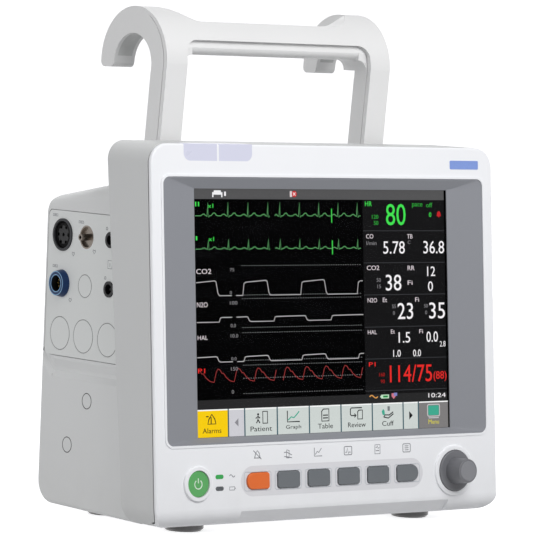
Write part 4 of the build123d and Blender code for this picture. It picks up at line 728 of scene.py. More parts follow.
class MONITOR_OT_finishes(bpy.types.Operator):
    """Give every part of the CAD model the finish of its material slot"""
    bl_idname = "monitor.finishes"
    bl_label = "Case finishes"

    def execute(self, context):
        scene = context.scene
        finishes = case_finishes(scene.monitor_case, scene.monitor_controls)
        for part in frame["record"]["subparts"]:
            if part["material_slot"] not in finishes:
                raise RuntimeError(f"no finish for slot {part['material_slot']}")
            slots = frame["nodes"][part["node"]].data.materials
            slots.clear()
            slots.append(finishes[part["material_slot"]])
        frame["nodes"]["hook_pads"].data.materials[0] = finishes["grey_rubber"]
        return {"FINISHED"}


# ---------------------------------------------------------------- display picture

ROWS = [52.2, 31.1, 10.0, -11.2, -32.2, -53.2]    # lines between the readings
COLUMN_LEFT = 34.6                                # left edge of the readings
TRACE_SPAN = (-103.6, 33.6)
SWEEP_GAP = 3.6                                   # blank stretch ahead of the newest point
BEAT = 16.2                                       # one heartbeat along a trace
BREATH = 47.5                                     # one breath along a trace
WIDE_BUTTON = 25.5
NARROW_BUTTON = 12.2
BUTTON_GAP = 1.05
BUTTON_LOW = -79.1
BUTTON_HIGH = -61.4
RIGHT_END = OPENING_HALF.x - 0.6                   # right end of the bars and the readings
TOP_BAR_LOW = 72.6
STATUS_TOP = -55.4
CAPTION_RISE = 2.6                                # from a button's foot to its caption
LIT_RELIEF = 0.06 * MM                            # thickness of a lit line
SYMBOL_LEVEL = 0.12                               # height of a symbol's lines above the panel
BUTTONS = ["alarm", "back", "patient", "graph", "table", "review", "cuff", "next", "menu"]


def button_boxes():
    """Left, low, right and high of each button along the foot of the picture."""
    boxes = {}
    left = -OPENING_HALF.x
    for name in BUTTONS:
        width = NARROW_BUTTON if name in ("back", "next") else WIDE_BUTTON
        right = min(left + width, OPENING_HALF.x)
        boxes[name] = (left, BUTTON_LOW, right, BUTTON_HIGH)
        left = right + BUTTON_GAP
    return boxes


def heart_trace(start, end, first_beat, base, height):
    """A heart trace: small rise, spike, and a rounded wave after it."""
    shape = [(-0.36, 0), (-0.28, 0.1), (-0.2, 0.14), (-0.12, 0.02), (-0.05, -0.04), (-0.03, 0.3), (0, 1),
             (0.03, -0.12), (0.07, 0), (0.16, 0.02), (0.26, 0.2), (0.33, 0.22), (0.42, 0.03), (0.5, 0)]
    points = [(start, base)]
    beat = first_beat
    while beat < end + BEAT:
        points += [(beat + x * BEAT, base + y * height) for x, y in shape]
        beat += BEAT
    return [p for p in points if start <= p[0] <= end]


def breath_trace(start, end, first_rise, base, height, share=0.42, creep=0.12):
    """A gas trace: it rises, creeps along its plateau and falls again."""
    ramp = 2.6
    points = [(start, base)]
    rise = first_rise - BREATH
    while rise < end:
        fall = rise + share * BREATH
        points += [(rise, base), (rise + ramp * 0.4, base + height * 0.82),
                   (rise + ramp, base + height * 0.92),
                   (fall - 1.2, base + height * (0.92 + creep)), (fall, base + height * 0.95),
                   (fall + ramp * 0.5, base + height * 0.2), (fall + ramp, base)]
        rise += BREATH
    inside = [p for p in points if start < p[0] < end]
    before = [p for p in points if p[0] <= start]
    return [(start, before[-1][1])] + inside + [(end, inside[-1][1])]


def pressure_trace(start, end, first_beat, base, height):
    """A pressure trace: a steep rise, a shoulder and a long fall."""
    shape = [(0, 0), (0.12, 0.8), (0.2, 1), (0.3, 0.93), (0.4, 0.66), (0.47, 0.68), (0.6, 0.36), (0.8, 0.08)]
    points = []
    beat = first_beat - BEAT
    while beat < end + BEAT:
        points += [(beat + x * BEAT, base + y * height) for x, y in shape]
        beat += BEAT
    return [p for p in points if start <= p[0] <= end]


def light_of(name, colour, glow=1.0):
    return screen_light(f"{name} light", colour, bpy.context.scene.monitor_display.glow * glow)


def lit_area(name, shapes, colour, low=0.08, high=0.13):
    """Flat lit shapes between two heights above the display panel."""
    plates(name, shapes, PICTURE_W + low, PICTURE_W + high, FRONT, "case",
           light_of(name, colour))


def lit_lines(name, lines, colour, width, level):
    """Lit lines of one width at a height above the display panel."""
    strokes(name, lines, width, LIT_RELIEF, FRONT, "case", light_of(name, colour),
            PICTURE_W + level)


def lit_words(name, entries, colour, glow=1.0):
    """Lit lettering in front of the areas and traces."""
    words(name, entries, PICTURE_W + 0.08, PICTURE_W + 0.14, FRONT, "case",
          light_of(name, colour, glow))


class MONITOR_OT_picture_areas(bpy.types.Operator):
    """Lay the flat areas of the picture: bars, reading column, buttons and dividing lines"""
    bl_idname = "monitor.picture_areas"
    bl_label = "Picture areas"

    def execute(self, context):
        look = context.scene.monitor_display
        edge, top = OPENING_HALF
        lit_area("top_bar", [box_outline(-edge, TOP_BAR_LOW, RIGHT_END, top)], look.bar, 0, 0.05)
        lit_area("status_row", [box_outline(-edge, BUTTON_HIGH, RIGHT_END, STATUS_TOP)], look.status, 0, 0.05)
        lit_area("reading_column", [box_outline(COLUMN_LEFT, STATUS_TOP, RIGHT_END, TOP_BAR_LOW)],
                 tone(7, 7, 9), 0, 0.04)
        rules = [box_outline(COLUMN_LEFT, row - 0.25, RIGHT_END, row + 0.25) for row in ROWS]
        lit_area("reading_lines", rules, tone(52, 53, 56), 0.04, 0.07)
        boxes = button_boxes()
        pale = [name for name in BUTTONS if name not in ("alarm", "menu", "back")]
        for name, members, colour in (("pale_buttons", pale, look.button),
                                      ("back_button", ["back"], tone(208, 208, 214)),
                                      ("alarm_button", ["alarm"], look.warning),
                                      ("menu_button", ["menu"], look.menu)):
            lit_area(name, [box_outline(*boxes[member]) for member in members], colour, 0, 0.06)
        rims = [box_outline(left, high - 0.8, right, high) for left, _, right, high in boxes.values()]
        lit_area("button_rims", rims, tone(250, 252, 252), 0.06, 0.08)
        gaps = [box_outline(boxes[name][2], BUTTON_LOW, boxes[name][2] + BUTTON_GAP, BUTTON_HIGH)
                for name in BUTTONS[:-1]]
        lit_area("button_gaps", gaps, tone(66, 96, 106), 0, 0.05)
        return {"FINISHED"}


class MONITOR_OT_traces(bpy.types.Operator):
    """Sweep the wave traces across the picture"""
    bl_idname = "monitor.traces"
    bl_label = "Wave traces"

    def execute(self, context):
        look = context.scene.monitor_display
        start, end = TRACE_SPAN
        level = 0.06

        def swept(trace, gap, first, later, *shape):
            """One trace up to the gap and its newer part after it."""
            return [trace(start, gap, first, *shape), trace(gap + SWEEP_GAP, end, later, *shape)]

        beats = (-42.6, -93.2, -34.8)           # where the gap is, and the first beat before and after it
        heart = swept(heart_trace, *beats, 61.9, 8.6) + swept(heart_trace, *beats, 40.7, 6.2)
        lit_lines("heart_traces", heart, tone(96, 168, 104), look.trace_width, level)
        marks = [[(8.2, 57.6), (8.2, 66.6)], [(8.4, 36.8), (8.4, 46)]]
        lit_lines("calibration_marks", marks, look.heart, look.trace_width * 1.6, level)
        breaths = (-75.2, -107.6, -66.2)
        gas = swept(breath_trace, *breaths, 10.9, 9.2) + swept(breath_trace, *breaths, -31.4, 3.4)
        gas += swept(breath_trace, -75.2, -85.6, -41.2, -5.9, 3.2, 0.55, 0.05)
        lit_lines("gas_traces", gas, look.gas, look.trace_width, level)
        pressure = [pressure_trace(start, -39.0, -90.5, -44.2, 8.4),
                    pressure_trace(-35.0, end, -34.4, -44.2, 8.4)]
        lit_lines("pressure_trace", pressure, tone(150, 52, 52), look.trace_width, level)
        return {"FINISHED"}


class MONITOR_OT_scale_lines(bpy.types.Operator):
    """Dot the scale lines behind the traces"""
    bl_idname = "monitor.scale_lines"
    bl_label = "Dotted scale lines"

    def execute(self, context):
        look = context.scene.monitor_display
        start = -66.5
        heights = [30.0, 11.2, 8.8, -9.7, -13.0, -30.8, -33.8, -42.2, -52.0]
        seed = bpy.data.meshes.new("scale_lines")
        seed.from_pydata([(start, up, PICTURE_W + 0.03) for up in heights], [], [])
        light = screen_light("scale line light", tone(128, 130, 132), look.glow)
        pitch = look.dot_pitch / MM
        made = run_tree("scale_lines", seed, dotted_tree(), {
            "Count": int((TRACE_SPAN[1] - start) / pitch),
            "Step": (pitch, 0, 0),
            "Dot": (look.dot_length / MM, 0.42, 0.04),
            "Finish": light,
        })
        settle("scale_lines", made, FRONT, "case", light)
        return {"FINISHED"}


class MONITOR_OT_readings(bpy.types.Operator):
    """Write the numbers and short generic labels on the picture"""
    bl_idname = "monitor.readings"
    bl_label = "Readings"

    def execute(self, context):
        look = context.scene.monitor_display
        lit_words("heart_readings", [
            ("80", 54.4, 55.8, 17.0, 14.2),
            ("HR", 36.6, 68.4, 5.8, 3.2),
            ("II", -103.4, 67.9, 3.2, 2.9),
            ("I", -103.3, 46.3, 1.2, 2.6),
            ("x1", -93.2, 67.0, 4.2, 2.6),
            ("x1", -93.0, 45.8, 4.2, 2.6),
            ("0", 91.8, 61.4, 2.0, 3.0),
        ], look.heart, 1.15)
        lit_words("small_heart_readings", [
            ("120", 42.4, 60.1, 5.4, 2.6),
            ("50", 43.9, 56.1, 3.8, 2.6),
            ("off", 89.4, 67.8, 5.4, 3.0),
            ("pace", 77.2, 67.3, 9.0, 3.2),
        ], lighter(look.heart, 0.6))
        lit_words("large_readings", [
            ("5.78", 51.6, 37.0, 18.6, 8.3),
            ("36.8", 86.4, 37.0, 18.2, 8.4),
            ("38", 53.3, 12.6, 13.4, 10.6),
            ("12", 89.4, 22.0, 7.0, 6.4),
            ("0", 89.9, 11.9, 4.3, 6.6),
            ("23", 63.1, -6.4, 13.4, 10.8),
            ("35", 90.6, -6.4, 13.8, 10.8),
            ("1.5", 63.6, -22.0, 10.0, 7.0),
            ("0.0", 87.8, -21.9, 10.0, 7.0),
            ("2.8", 99.4, -25.2, 5.0, 3.7),
            ("1.0", 58.7, -31.2, 6.5, 4.6),
            ("0.0", 75.9, -31.3, 6.8, 4.6),
            ("10:24", 88.6, -58.9, 15.2, 2.9),
            ("1", -80.0, 74.6, 1.4, 2.8),
        ], tone(246, 243, 246))
        lit_words("reading_labels", [
            ("CO", 37.1, 47.1, 6.2, 2.9),
            ("TB", 72.4, 47.0, 4.7, 2.9),
            ("CO2", 37.3, 26.3, 10.6, 3.0),
            ("RR", 72.4, 26.0, 6.0, 3.0),
            ("Fi", 72.2, 16.3, 4.2, 2.9),
            ("N2O", 37.5, 5.0, 8.0, 2.9),
            ("Et", 50.5, 5.1, 3.6, 2.9),
            ("Fi", 78.5, 5.0, 3.3, 2.9),
            ("HAL", 37.2, -15.9, 7.6, 2.7),
            ("Et", 57.0, -15.8, 3.4, 2.7),
            ("Fi", 81.6, -16.0, 3.2, 2.7),
            ("CO2", -103.4, 24.9, 12.0, 3.2),
            ("N2O", -103.3, 3.7, 8.6, 3.2),
            ("HAL", -103.1, -17.0, 8.0, 2.7),
        ], tone(226, 216, 222))
        lit_words("small_labels", [
            ("l/min", 37.3, 42.8, 8.6, 2.6),
            ("C", 72.8, 43.4, 2.4, 2.3),
            ("50", 45.5, 18.5, 3.6, 2.5),
            ("15", 46.1, 14.3, 3.0, 2.4),
            ("55", 58.4, 1.0, 3.2, 2.4),
            ("0", 59.0, -3.4, 1.7, 2.4),
            ("50", 86.2, 1.0, 3.2, 2.4),
            ("0", 87.0, -3.4, 1.7, 2.4),
            ("75", -76.4, 26.4, 3.5, 2.0),
            ("0", -76.7, 11.7, 1.6, 2.2),
            ("100", -76.8, 5.1, 6.0, 2.3),
            ("0.0", -76.5, -9.4, 4.2, 2.2),
            ("10.0", -76.6, -16.0, 6.0, 2.3),
            ("0.0", -76.4, -30.5, 4.2, 2.1),
            ("150", -76.8, -37.1, 5.6, 2.3),
            ("0", -76.5, -51.8, 1.8, 2.4),
        ], tone(132, 130, 134))
        lit_words("pressure_readings", [
            ("114/75", 55.5, -48.1, 36.6, 11.4),
            ("(88)", 93.4, -48.3, 11.4, 6.8),
            ("P1", 37.7, -37.1, 5.6, 2.8),
            ("P1", -103.2, -38.2, 5.6, 3.0),
        ], look.pressure, 1.1)
        lit_words("small_pressure_labels", [
            ("160", 46.4, -43.9, 4.8, 2.5),
            ("90", 47.6, -48.4, 3.4, 2.5),
        ], lighter(look.pressure, 0.5))
        boxes = button_boxes()
        captions = {"alarm": "Alarms", "patient": "Patient", "graph": "Graph", "table": "Table",
                    "review": "Review", "cuff": "Cuff"}
        entries = []
        for name, text in captions.items():
            left, low, right = boxes[name][:3]
            width = 2.5 * len(text)
            entries.append((text, (left + right - width) / 2, low + CAPTION_RISE, width, 3.2))
        lit_words("button_captions", entries, tone(22, 24, 26))
        left, low, right = boxes["menu"][:3]
        lit_words("menu_caption", [("Menu", (left + right) / 2 - 4.6, low + CAPTION_RISE, 9.2, 3.0)],
                  tone(214, 204, 70))
        return {"FINISHED"}


class MONITOR_OT_screen_symbols(bpy.types.Operator):
    """Draw the symbols on the picture: bed, bell, battery, mains wave and button pictures"""
    bl_idname = "monitor.screen_symbols"
    bl_label = "Screen symbols"

    def execute(self, context):
        look = context.scene.monitor_display
        lit_area("bed_symbol", [box_outline(-89.6, 75.4, -81.4, 77.0), box_outline(-89.6, 73.8, -88.6, 75.4),
                                box_outline(-82.4, 73.8, -81.4, 75.4),
                                rounded_box(-88.4, 76.8, -82.6, 78.2, 0.6)], tone(244, 244, 246))
        lit_area("alarm_symbol", [disc(-22.8, 76.1, 2.1)], tone(206, 44, 48))
        lit_area("alarm_page", [box_outline(-26.4, 74.2, -24.6, 78.0)], tone(222, 210, 212))
        lit_lines("alarm_cross", [[(-23.8, 75.1), (-21.8, 77.1)], [(-23.8, 77.1), (-21.8, 75.1)]],
                  tone(248, 226, 226), 0.55 * MM, SYMBOL_LEVEL)
        bell = [(-1.9, -1.5), (-1.3, 0.9), (-0.5, 1.8), (0.5, 1.8), (1.3, 0.9), (1.9, -1.5)]
        lit_area("bell_symbol", [moved(bell, 100.4, 63.4), disc(100.4, 61.6, 0.5, 8)], tone(196, 30, 36))
        lit_lines("mains_wave", [wave(37.8, -57.0, 7.0, 0.9)], tone(226, 160, 84), 0.7 * MM, SYMBOL_LEVEL)
        shell = [box_outline(47.7, -58.4, 54.4, -55.9), box_outline(47.0, -57.7, 47.8, -56.6)]
        lit_area("battery_shell", shell, tone(196, 228, 200))
        lit_area("battery_charge", [box_outline(49.4, -57.8, 53.4, -56.5)], tone(20, 140, 60), 0.13, 0.18)
        lit_area("link_shield", [[(56.6, -57.0), (56.8, -55.2), (60.0, -55.2), (60.2, -57.2), (58.4, -59.0)]],
                 tone(206, 120, 136))
        lit_area("link_page", [box_outline(58.6, -57.0, 61.4, -54.9)], tone(130, 132, 196), 0.13, 0.18)
        middles = {name: ((left + right) / 2, (low + high) / 2 + 2.2)
                   for name, (left, low, right, high) in button_boxes().items()}
        dark = tone(26, 28, 30)
        outlines = {
            "alarm": [closed([(-3.2, -2.6), (3.2, -2.6), (2.4, 0.4), (0, 3.6), (-2.4, 0.4)]),
                      [(-4.6, 2.2), (-2.6, 2.2)], [(-0.6, 1.8), (-0.6, -2.4)]],
            "patient": [closed([(1.4, -3.4), (5.2, -3.4), (5.2, 4.2), (1.4, 4.2)]),
                        [(-3.8, -3.2), (-2.6, -1.0), (-2.6, 1.2), (-4.4, -0.2)],
                        [(-2.6, -1.0), (-1.0, -3.2)], [(-2.6, 1.2), (-1.0, 0.0)]],
            "graph": [[(-5, 4), (-5, -3.2), (5.2, -3.2)]],
            "table": [closed([(-3, -3.6), (3, -3.6), (3, 4.2), (-1.6, 4.2), (-3, 2.8)]),
                      [(-2, -1.6), (2.2, -1.6)], [(-2, 0.2), (2.2, 0.2)]],
            "review": [[(4.4, 4.2), (-4.6, 4.2), (-5.4, 3.2), (-5.4, 0.0), (-4.6, -0.8), (-0.6, -0.8)],
                       closed([(0.8, -3.2), (4.8, -3.2), (4.8, 2.6), (1.8, 2.6), (0.8, 1.6)]),
                       [(-2.0, 0.4), (-0.6, -0.8), (-2.0, -2.0)]],
            "cuff": [[(-3.6, -2.6), (-2.4, -1.2), (1.2, -1.4), (4.6, 0.6)],
                     [(-3.6, -2.6), (0.4, -3.4), (4.8, -0.6)]],
        }
        lines = [moved(line, *middles[name]) for name, group in outlines.items() for line in group]
        lit_lines("button_outlines", lines, dark, 0.75 * MM, SYMBOL_LEVEL)

        def on_button(name, button, shape, colour):
            lit_area(name, [moved(shape, *middles[button])], colour)

        on_button("patient_head", "patient", disc(-2.4, 2.4, 0.8, 10), dark)
        graph = [(-4.4, -2), (-1.8, 0), (0.4, -0.6), (3, 1.6), (4.8, 3.4)]
        lit_lines("graph_line", [moved(graph, *middles["graph"])], look.teal, 0.8 * MM, SYMBOL_LEVEL)
        on_button("cuff_band", "cuff", [(-5.2, 1.0), (-4.0, 2.8), (-2.8, 1.6), (-2.6, -1.2), (-4.4, -1.2)],
                  look.teal)
        on_button("cuff_gauge", "cuff", box_outline(-0.2, 1.4, 1.8, 4.4), tone(120, 126, 128))
        on_button("back_arrow", "back", [(-1.6, -2.2), (1.4, -4.8), (1.4, 0.4)], tone(140, 140, 146))
        on_button("next_arrow", "next", [(1.6, -2.2), (-1.4, 0.6), (-1.4, -5.0)], tone(14, 14, 16))
        on_button("menu_picture", "menu", rounded_box(-4.6, -2.6, 4.6, 3.8, 0.9), look.teal)
        frame_lines = [closed(rounded_box(-5.3, -3.3, 5.3, 4.5, 1.2)), [(-4.4, -4.4), (4.4, -4.4)]]
        lit_lines("menu_frame", [moved(line, *middles["menu"]) for line in frame_lines], tone(206, 206, 208),
                  0.55 * MM, SYMBOL_LEVEL)
        return {"FINISHED"}


# ---------------------------------------------------------------- marks on the case

class MONITOR_OT_key_frames(bpy.types.Operator):
    """Run a light line round every key"""
    bl_idname = "monitor.key_frames"
    bl_label = "Key frames"

    def execute(self, context):
        marks = context.scene.monitor_marks
        low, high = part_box(KEYS[0])
        gap = marks.key_frame_gap / MM
        line = marks.key_frame_width / MM
        width = (high.x - low.x) / MM + 2 * gap + line
        height = key_face_height() + 2 * gap + line
        finish = printed_ink_and_painted_light("key frame ink", tone(206, 209, 214))
        seed = bpy.data.meshes.new("key_frames")
        seed.from_pydata([(*on_front(key), 0.0) for key in KEYS], [], [])
        made = run_tree("key_frames", seed, frame_tree(), {
            "Width": width, "Height": height, "Corner": 1.6, "Line": line, "Relief": marks.relief / MM * 2,
            "Finish": finish})
        settle("key_frames", made, FRONT, "case", finish)
        return {"FINISHED"}


def outline_points(node, place):
    """Every corner of a node's mesh in a place's millimetres."""
    into = place.inverted()
    return [into @ vertex.co for vertex in frame["nodes"][node].data.vertices]


def highest(node, place):
    """How far a node stands out of a face, in millimetres."""
    return max(point.z for point in outline_points(node, place))


def key_face_height():
    """Height of a key's face up the leaning front, in millimetres."""
    face = [point.y for point in outline_points(KEYS[0], FRONT) if point.z > 0.2]
    return max(face) - min(face)


class MONITOR_OT_key_symbols(bpy.types.Operator):
    """Print a symbol above each key, and beside the status windows"""
    bl_idname = "monitor.key_symbols"
    bl_label = "Key symbols"

    def execute(self, context):
        controls = context.scene.monitor_controls
        marks = context.scene.monitor_marks
        size = marks.symbol_size / MM
        rise = marks.symbol_rise / MM
        box_lines = closed(rounded_box(-0.5, -0.42, 0.5, 0.42, 0.12))
        shapes = {
            "key_mute": [[(-0.42, -0.3), (0.42, -0.3)], [(-0.34, -0.28), (-0.22, 0.2), (0, 0.42), (0.22, 0.2),
                         (0.34, -0.28)], [(-0.5, 0.44), (0.5, -0.44)]],
            "key_nibp": [[(-0.5, 0.1), (-0.2, 0.16), (0.5, -0.16)],
                         [(-0.5, -0.28), (-0.1, -0.34), (0.5, -0.44)],
                         closed([(-0.2, -0.42), (0.12, -0.46), (0.16, 0.3), (-0.16, 0.36)])],
            "key_trend": [[(-0.5, 0.46), (-0.5, -0.4), (0.5, -0.4)],
                          [(-0.38, -0.24), (-0.12, 0.08), (0.08, -0.04), (0.42, 0.38)]],
            "key_freeze": [box_lines, [(-0.34, -0.16), (-0.18, -0.16), (-0.08, 0.26), (0.04, -0.3),
                                       (0.14, -0.16), (0.34, -0.16)]],
            "key_record": [closed([(-0.34, -0.46), (0.34, -0.46), (0.34, 0.46), (-0.34, 0.46)]),
                           [(-0.22, 0.2), (-0.08, 0.2), (0, 0.34), (0.08, 0.06), (0.22, 0.2)],
                           [(-0.22, -0.14), (0.22, -0.14)]],
            "key_menu": [box_lines, *[[(-0.26, up), (0.26, up)] for up in (0.2, 0, -0.2)]],
        }
        lines = []
        for key in KEYS:
            u, v = on_front(key)
            lines += [moved(line, u, v + rise, size) for line in shapes[key]]
        low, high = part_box("led_windows")
        u, v = on_front("led_windows")
        step = (high.z - low.z) / MM * 0.36
        beside = u + 10.2
        lines.append(wave(beside - 2.2, v + step, 4.4, 0.8))
        lines.append(closed(box_outline(beside - 2.2, v - step - 1.0, beside + 1.8, v - step + 1.0)))
        lines.append([(beside + 2.3, v - step - 0.4), (beside + 2.3, v - step + 0.4)])
        strokes("key_symbols", lines, marks.stroke, marks.relief, FRONT, "case",
                printed_ink_and_painted_light("symbol ink", controls.ink), INK_LEVEL)
        return {"FINISHED"}


class MONITOR_OT_power_mark(bpy.types.Operator):
    """Print the on and off sign on the power button"""
    bl_idname = "monitor.power_mark"
    bl_label = "Power sign"

    def execute(self, context):
        marks = context.scene.monitor_marks
        u, v = on_front("power_button")
        face = highest("power_button", FRONT)
        lines = [arc(u, v - 0.3, 2.9, 125, 415, 18), [(u, v + 0.4), (u, v + 3.6)]]
        strokes("power_sign", lines, marks.stroke * 1.5, marks.relief, FRONT, "power_button",
                printed_ink_and_painted_light("power sign ink", tone(222, 240, 222)), face)
        return {"FINISHED"}


class MONITOR_OT_badge(bpy.types.Operator):
    """Stick a plain badge without lettering at the top right of the bezel"""
    bl_idname = "monitor.badge"
    bl_label = "Blank badge"

    def execute(self, context):
        enamel = printed_ink_and_painted_light("badge enamel", context.scene.monitor_controls.badge, 0.32)
        left, low, right, high, corner = 105.2, 93.0, 130.2, 98.8, 0.8
        plates("blank_badge", [rounded_box(left, low, right, high, corner)], 0, 0.12, FRONT, "case",
               enamel)
        return {"FINISHED"}


class MONITOR_OT_side_marks(bpy.types.Operator):
    """Print plain marks beside the sockets"""
    bl_idname = "monitor.side_marks"
    bl_label = "Socket marks"

    def execute(self, context):
        controls = context.scene.monitor_controls
        marks = context.scene.monitor_marks
        lines = []
        for node in ("ecg_socket", "nibp_fitting", "spo2_socket"):
            (left, low), (right, high) = on_side(node)
            a, b = left + 1.2, high + 1.8
            lines.append(closed(box_outline(a - 2.6, b - 0.7, a + 2.6, b + 0.7)))
            lines.append([(a - 1.4, b), (a + 1.4, b)])
            heart = [(0, -1.5), (1.6, 0.2), (1.2, 1.3), (0, 0.7), (-1.2, 1.3), (-1.6, 0.2)]
            lines.append(closed(moved(heart, right + 1.4, low - 1.2, 0.9)))
        (left, low), (right, high) = on_side("small_sockets")
        middle = (left + right) / 2
        for up in (high + 1.8, low + 10.4 + 1.8):
            lines.append(closed(disc(middle - 4.6, up, 0.9, 8)))
        book = (low + high) / 2
        lines.append(closed(box_outline(middle - 2.2, book - 2.6, middle + 2.2, book + 2.6)))
        lines.append([(middle, book - 1.4), (middle, book + 1.0)])
        strokes("socket_marks", lines, marks.stroke * 0.8, marks.relief, SIDE, "case",
                printed_ink_and_painted_light("socket mark ink", controls.ink), INK_LEVEL)
        return {"FINISHED"}


class MONITOR_OT_gap_shadow_lines(bpy.types.Operator):
    """Draw a dark ring of painted shade in the gap round each blank cover and screw cap"""
    bl_idname = "monitor.parting_lines"
    bl_label = "Gap shadow lines"

    def execute(self, context):
        # dark rings of painted shade round the covers and caps, where their gaps fall into shadow
        for name, node, width, shade in (("blank_gap_shadows", "blank_plugs", 0.3, 128),
                                         ("cap_gap_shadows", "screw_caps", 0.55, 62)):
            lines = [closed(disc(*middle, radius, 40)) for middle, radius in round_faces(node)]
            strokes(name, lines, width * MM, 0.08 * MM, SIDE, "case",
                    printed_ink_and_painted_light(f"{name} shade", tone(shade, shade, shade + 2), 0.7))
        return {"FINISHED"}


def round_faces(node):
    """Middle and radius of every round cover of a side node, from the loose parts of its face."""
    face = {(round(p.x, 2), round(p.y, 2)) for p in outline_points(node, SIDE) if abs(p.z) < 0.05}
    groups = []
    for point in sorted(face):
        near = [group for group in groups if any(math.dist(point, other) < 4.0 for other in group)]
        merged = {point}.union(*near)
        groups = [group for group in groups if group not in near] + [merged]
    found = []
    for group in groups:
        across = [p[0] for p in group]
        up = [p[1] for p in group]
        middle = ((min(across) + max(across)) / 2, (min(up) + max(up)) / 2)
        found.append((middle, (max(across) - min(across)) / 2))
    return found


class MONITOR_OT_rating_plate(bpy.types.Operator):
    """Stick a blank rating plate on the back, with ruled lines where its text would be"""
    bl_idname = "monitor.rating_plate"
    bl_label = "Blank rating plate"

    def execute(self, context):
        controls = context.scene.monitor_controls
        marks = context.scene.monitor_marks
        left = 46.0
        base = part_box("battery_door")[1].z / MM + 12.0
        thickness = 0.15
        film = brushed_metal("rating plate film", tone(214, 216, 218), 0.4, (14, 1, 1), 200)
        outline = rounded_box(left, base, left + 42.0, base + 22.0, 1.2)
        plates("rating_plate", [outline], 0, thickness, REAR, "case", film)
        rows = [[(left + 4.0, base + 18.0 - 3.4 * i), (left + 38.0 - 5.0 * (i % 3), base + 18.0 - 3.4 * i)]
                for i in range(5)]
        strokes("rating_lines", rows, marks.stroke, marks.relief, REAR, "case",
                printed_ink_and_painted_light("rating line ink", controls.ink), thickness)
        return {"FINISHED"}


class MONITOR_OT_socket_rims(bpy.types.Operator):
    """Ring the sockets: painted shade in the heart socket's gap, painted highlights on the oximeter socket's
    rims and painted shade down its throat
    """
    bl_idname = "monitor.socket_rims"
    bl_label = "Socket rims"

    def execute(self, context):
        def ring(name, node, slot, finish, radius, out, width, relief):
            (left, low), (right, high) = on_side(node)
            line = closed(disc((left + right) / 2, (low + high) / 2, radius, 48))
            strokes(name, [line], width * MM, relief * MM, SIDE, "case", finish, out)

        # near-black plastic in the heart socket's gap and down the oximeter socket's hole: painted shade
        # where these hollows fall dark
        dark = moulded_plastic("socket hole painted shade", tone(8, 8, 9), 0.5, 0.1, gloss=0.05)
        # pale rings of painted highlight where light catches the oximeter socket's two rims
        pale = printed_ink_and_painted_light("oximeter rim painted highlight", tone(128, 178, 214), 0.3)
        ring("ecg_gap_shade", "ecg_socket", "socket_grey", dark, radius=7.4, out=-0.15, width=2.8, relief=0.1)
        tip = highest("spo2_socket", SIDE)
        for name, radius, width in (("oximeter_outer_rim_highlight", 7.7, 0.5), ("oximeter_inner_rim_highlight", 5.6, 0.45)):
            ring(name, "spo2_socket", "socket_blue", pale, radius, tip - 0.02, width, relief=0.1)
        ring("oximeter_throat_shade", "spo2_socket", "socket_grey", dark, radius=5.0, out=tip - 5.4, width=0.3,
             relief=10.0)
        return {"FINISHED"}


class MONITOR_OT_contacts(bpy.types.Operator):
    """Set the gold contacts in the patient sockets"""
    bl_idname = "monitor.contacts"
    bl_label = "Socket contacts"

    def execute(self, context):
        marks = context.scene.monitor_marks
        gold = gold_plate("gold contact")

        def ring(name, node, depth, count, reach, length):
            (left, low), (right, high) = on_side(node)
            seed = bpy.data.meshes.new(name)
            seed.from_pydata([((left + right) / 2, (low + high) / 2, -depth)], [], [])
            made = run_tree(name, seed, contact_tree(), {
                "Count": count, "Ring": reach, "Radius": marks.contact_radius / MM, "Length": length,
                "Finish": gold})
            settle(name, made, SIDE, "case", gold)

        ring("ecg_contacts", "ecg_socket", depth=6.0, count=6, reach=5.6, length=3.0)
        ring("oximeter_contacts", "spo2_socket", depth=1.5, count=8, reach=3.0, length=4.0)
        return {"FINISHED"}


# ---------------------------------------------------------------- stage

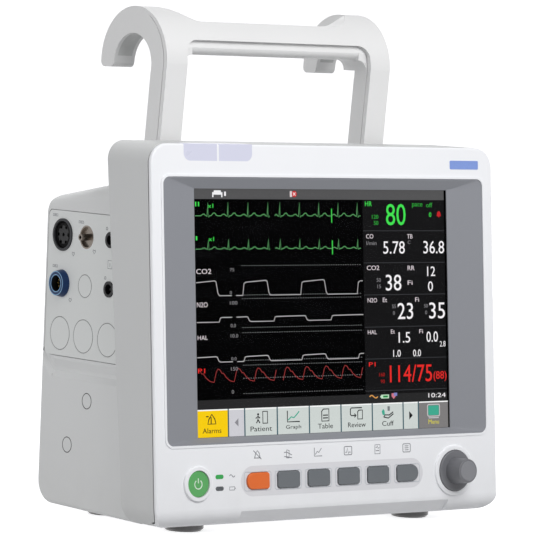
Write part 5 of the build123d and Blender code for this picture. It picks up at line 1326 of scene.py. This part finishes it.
class MONITOR_OT_stage(bpy.types.Operator):
    """Lay the floor, set the soft lights and stand the camera"""
    bl_idname = "monitor.stage"
    bl_label = "Stage"

    def execute(self, context):
        scene = context.scene
        stage = scene.monitor_stage
        half = stage.floor_half
        front, back, bend, wall = -6.0, 3.4, 1.2, 5.0
        profile = [(front, 0.0)] + [(back + across, bend + up) for across, up in arc(0, 0, bend, -90, 0, 18)]
        profile.append((back + bend, wall))
        points = [(x, y, z) for y, z in profile for x in (-half, half)]
        faces = [(2 * i, 2 * i + 1, 2 * i + 3, 2 * i + 2) for i in range(len(profile) - 1)]
        mesh = bpy.data.meshes.new("floor")
        mesh.from_pydata(points, [], faces)
        floor = link_object("floor", mesh)
        heading = stage.camera_heading
        mesh.transform(Matrix.Rotation(-heading, 4, "Z"))
        for face in mesh.polygons:
            face.use_smooth = True
        finish = Finish("pale floor")
        cloud = finish.noise(1.5, 2)
        shade = finish.blend(cloud, lighter(stage.floor, 0.99), stage.floor)
        mesh.materials.append(finish.paint(Base_Color=shade, Roughness=0.9, Specular_IOR_Level=0.0,
                                           Emission_Color=shade, Emission_Strength=0.8))
        floor.visible_diffuse = False

        world = bpy.data.worlds.new("studio")
        scene.world = world
        scene.view_settings.view_transform = "Standard"
        world.use_nodes = True
        room = world.node_tree.nodes["Background"]
        room.inputs["Color"].default_value = (0.98, 0.985, 1.0, 1)
        room.inputs["Strength"].default_value = stage.surroundings

        def softbox(name, place, aim, size, power):
            light = bpy.data.lights.new(name, "AREA")
            light.shape = "RECTANGLE"
            light.size, light.size_y = size
            light.energy = power
            lamp = link_object(name, light)
            lamp.location = place
            lamp.rotation_euler = (Vector(aim) - Vector(place)).to_track_quat("-Z", "Y").to_euler()

        softbox("front softbox", (0.0, -1.0, 0.98), (0, 0, 0.22), (1.1, 0.8), stage.softbox_power * 0.62)
        softbox("side softbox", (-2.6, 0.5, 0.7), (0, 0.05, 0.15), (1.4, 1.4), stage.softbox_power * 0.9)
        softbox("rear softbox", (1.0, 3.0, 1.4), (0, 0, 0.15), (1.8, 1.4), stage.softbox_power * 0.8)

        turn = (Matrix.Rotation(-heading, 4, "Z")
                @ Matrix.Rotation(math.radians(90) - stage.camera_dip, 4, "X")
                @ Matrix.Rotation(stage.camera_roll, 4, "Z"))
        data = bpy.data.cameras.new("camera")
        data.lens = stage.lens
        data.sensor_width = 36
        data.clip_end = 50
        camera = link_object("camera", data)
        camera.matrix_world = turn
        camera.location = FRONT.translation + Vector(stage.camera_offset)
        scene.camera = camera
        return {"FINISHED"}


# ---------------------------------------------------------------- panel and registration

OPERATORS = [MONITOR_OT_finishes, MONITOR_OT_picture_areas, MONITOR_OT_traces, MONITOR_OT_scale_lines,
             MONITOR_OT_readings, MONITOR_OT_screen_symbols, MONITOR_OT_key_frames, MONITOR_OT_key_symbols,
             MONITOR_OT_power_mark, MONITOR_OT_badge, MONITOR_OT_side_marks, MONITOR_OT_gap_shadow_lines,
             MONITOR_OT_rating_plate, MONITOR_OT_socket_rims, MONITOR_OT_contacts, MONITOR_OT_stage]
GROUPS = {"monitor_case": MonitorCaseColours, "monitor_controls": MonitorControlColours,
          "monitor_display": MonitorDisplay, "monitor_marks": MonitorMarks, "monitor_stage": MonitorStage}


class MONITOR_PT_panel(bpy.types.Panel):
    """Sizes, colours and steps of the monitor"""
    bl_label = "Patient monitor"
    bl_idname = "MONITOR_PT_panel"
    bl_space_type = "VIEW_3D"
    bl_region_type = "UI"
    bl_category = "Monitor"

    def draw(self, context):
        for name, group in GROUPS.items():
            box = self.layout.box()
            box.label(text=group.__doc__)
            for field in group.__annotations__:
                box.prop(getattr(context.scene, name), field)
        for step in OPERATORS:
            self.layout.operator(step.bl_idname)


def register():
    for group in (*GROUPS.values(), *OPERATORS, MONITOR_PT_panel):
        bpy.utils.register_class(group)
    for name, group in GROUPS.items():
        setattr(bpy.types.Scene, name, bpy.props.PointerProperty(type=group))


def unregister():
    for name in GROUPS:
        delattr(bpy.types.Scene, name)
    for group in (MONITOR_PT_panel, *reversed(OPERATORS), *GROUPS.values()):
        bpy.utils.unregister_class(group)


def main():
    register()
    for step in OPERATORS:
        family, verb = step.bl_idname.split(".")
        getattr(getattr(bpy.ops, family), verb)()


if __name__ == "__main__":
    main()
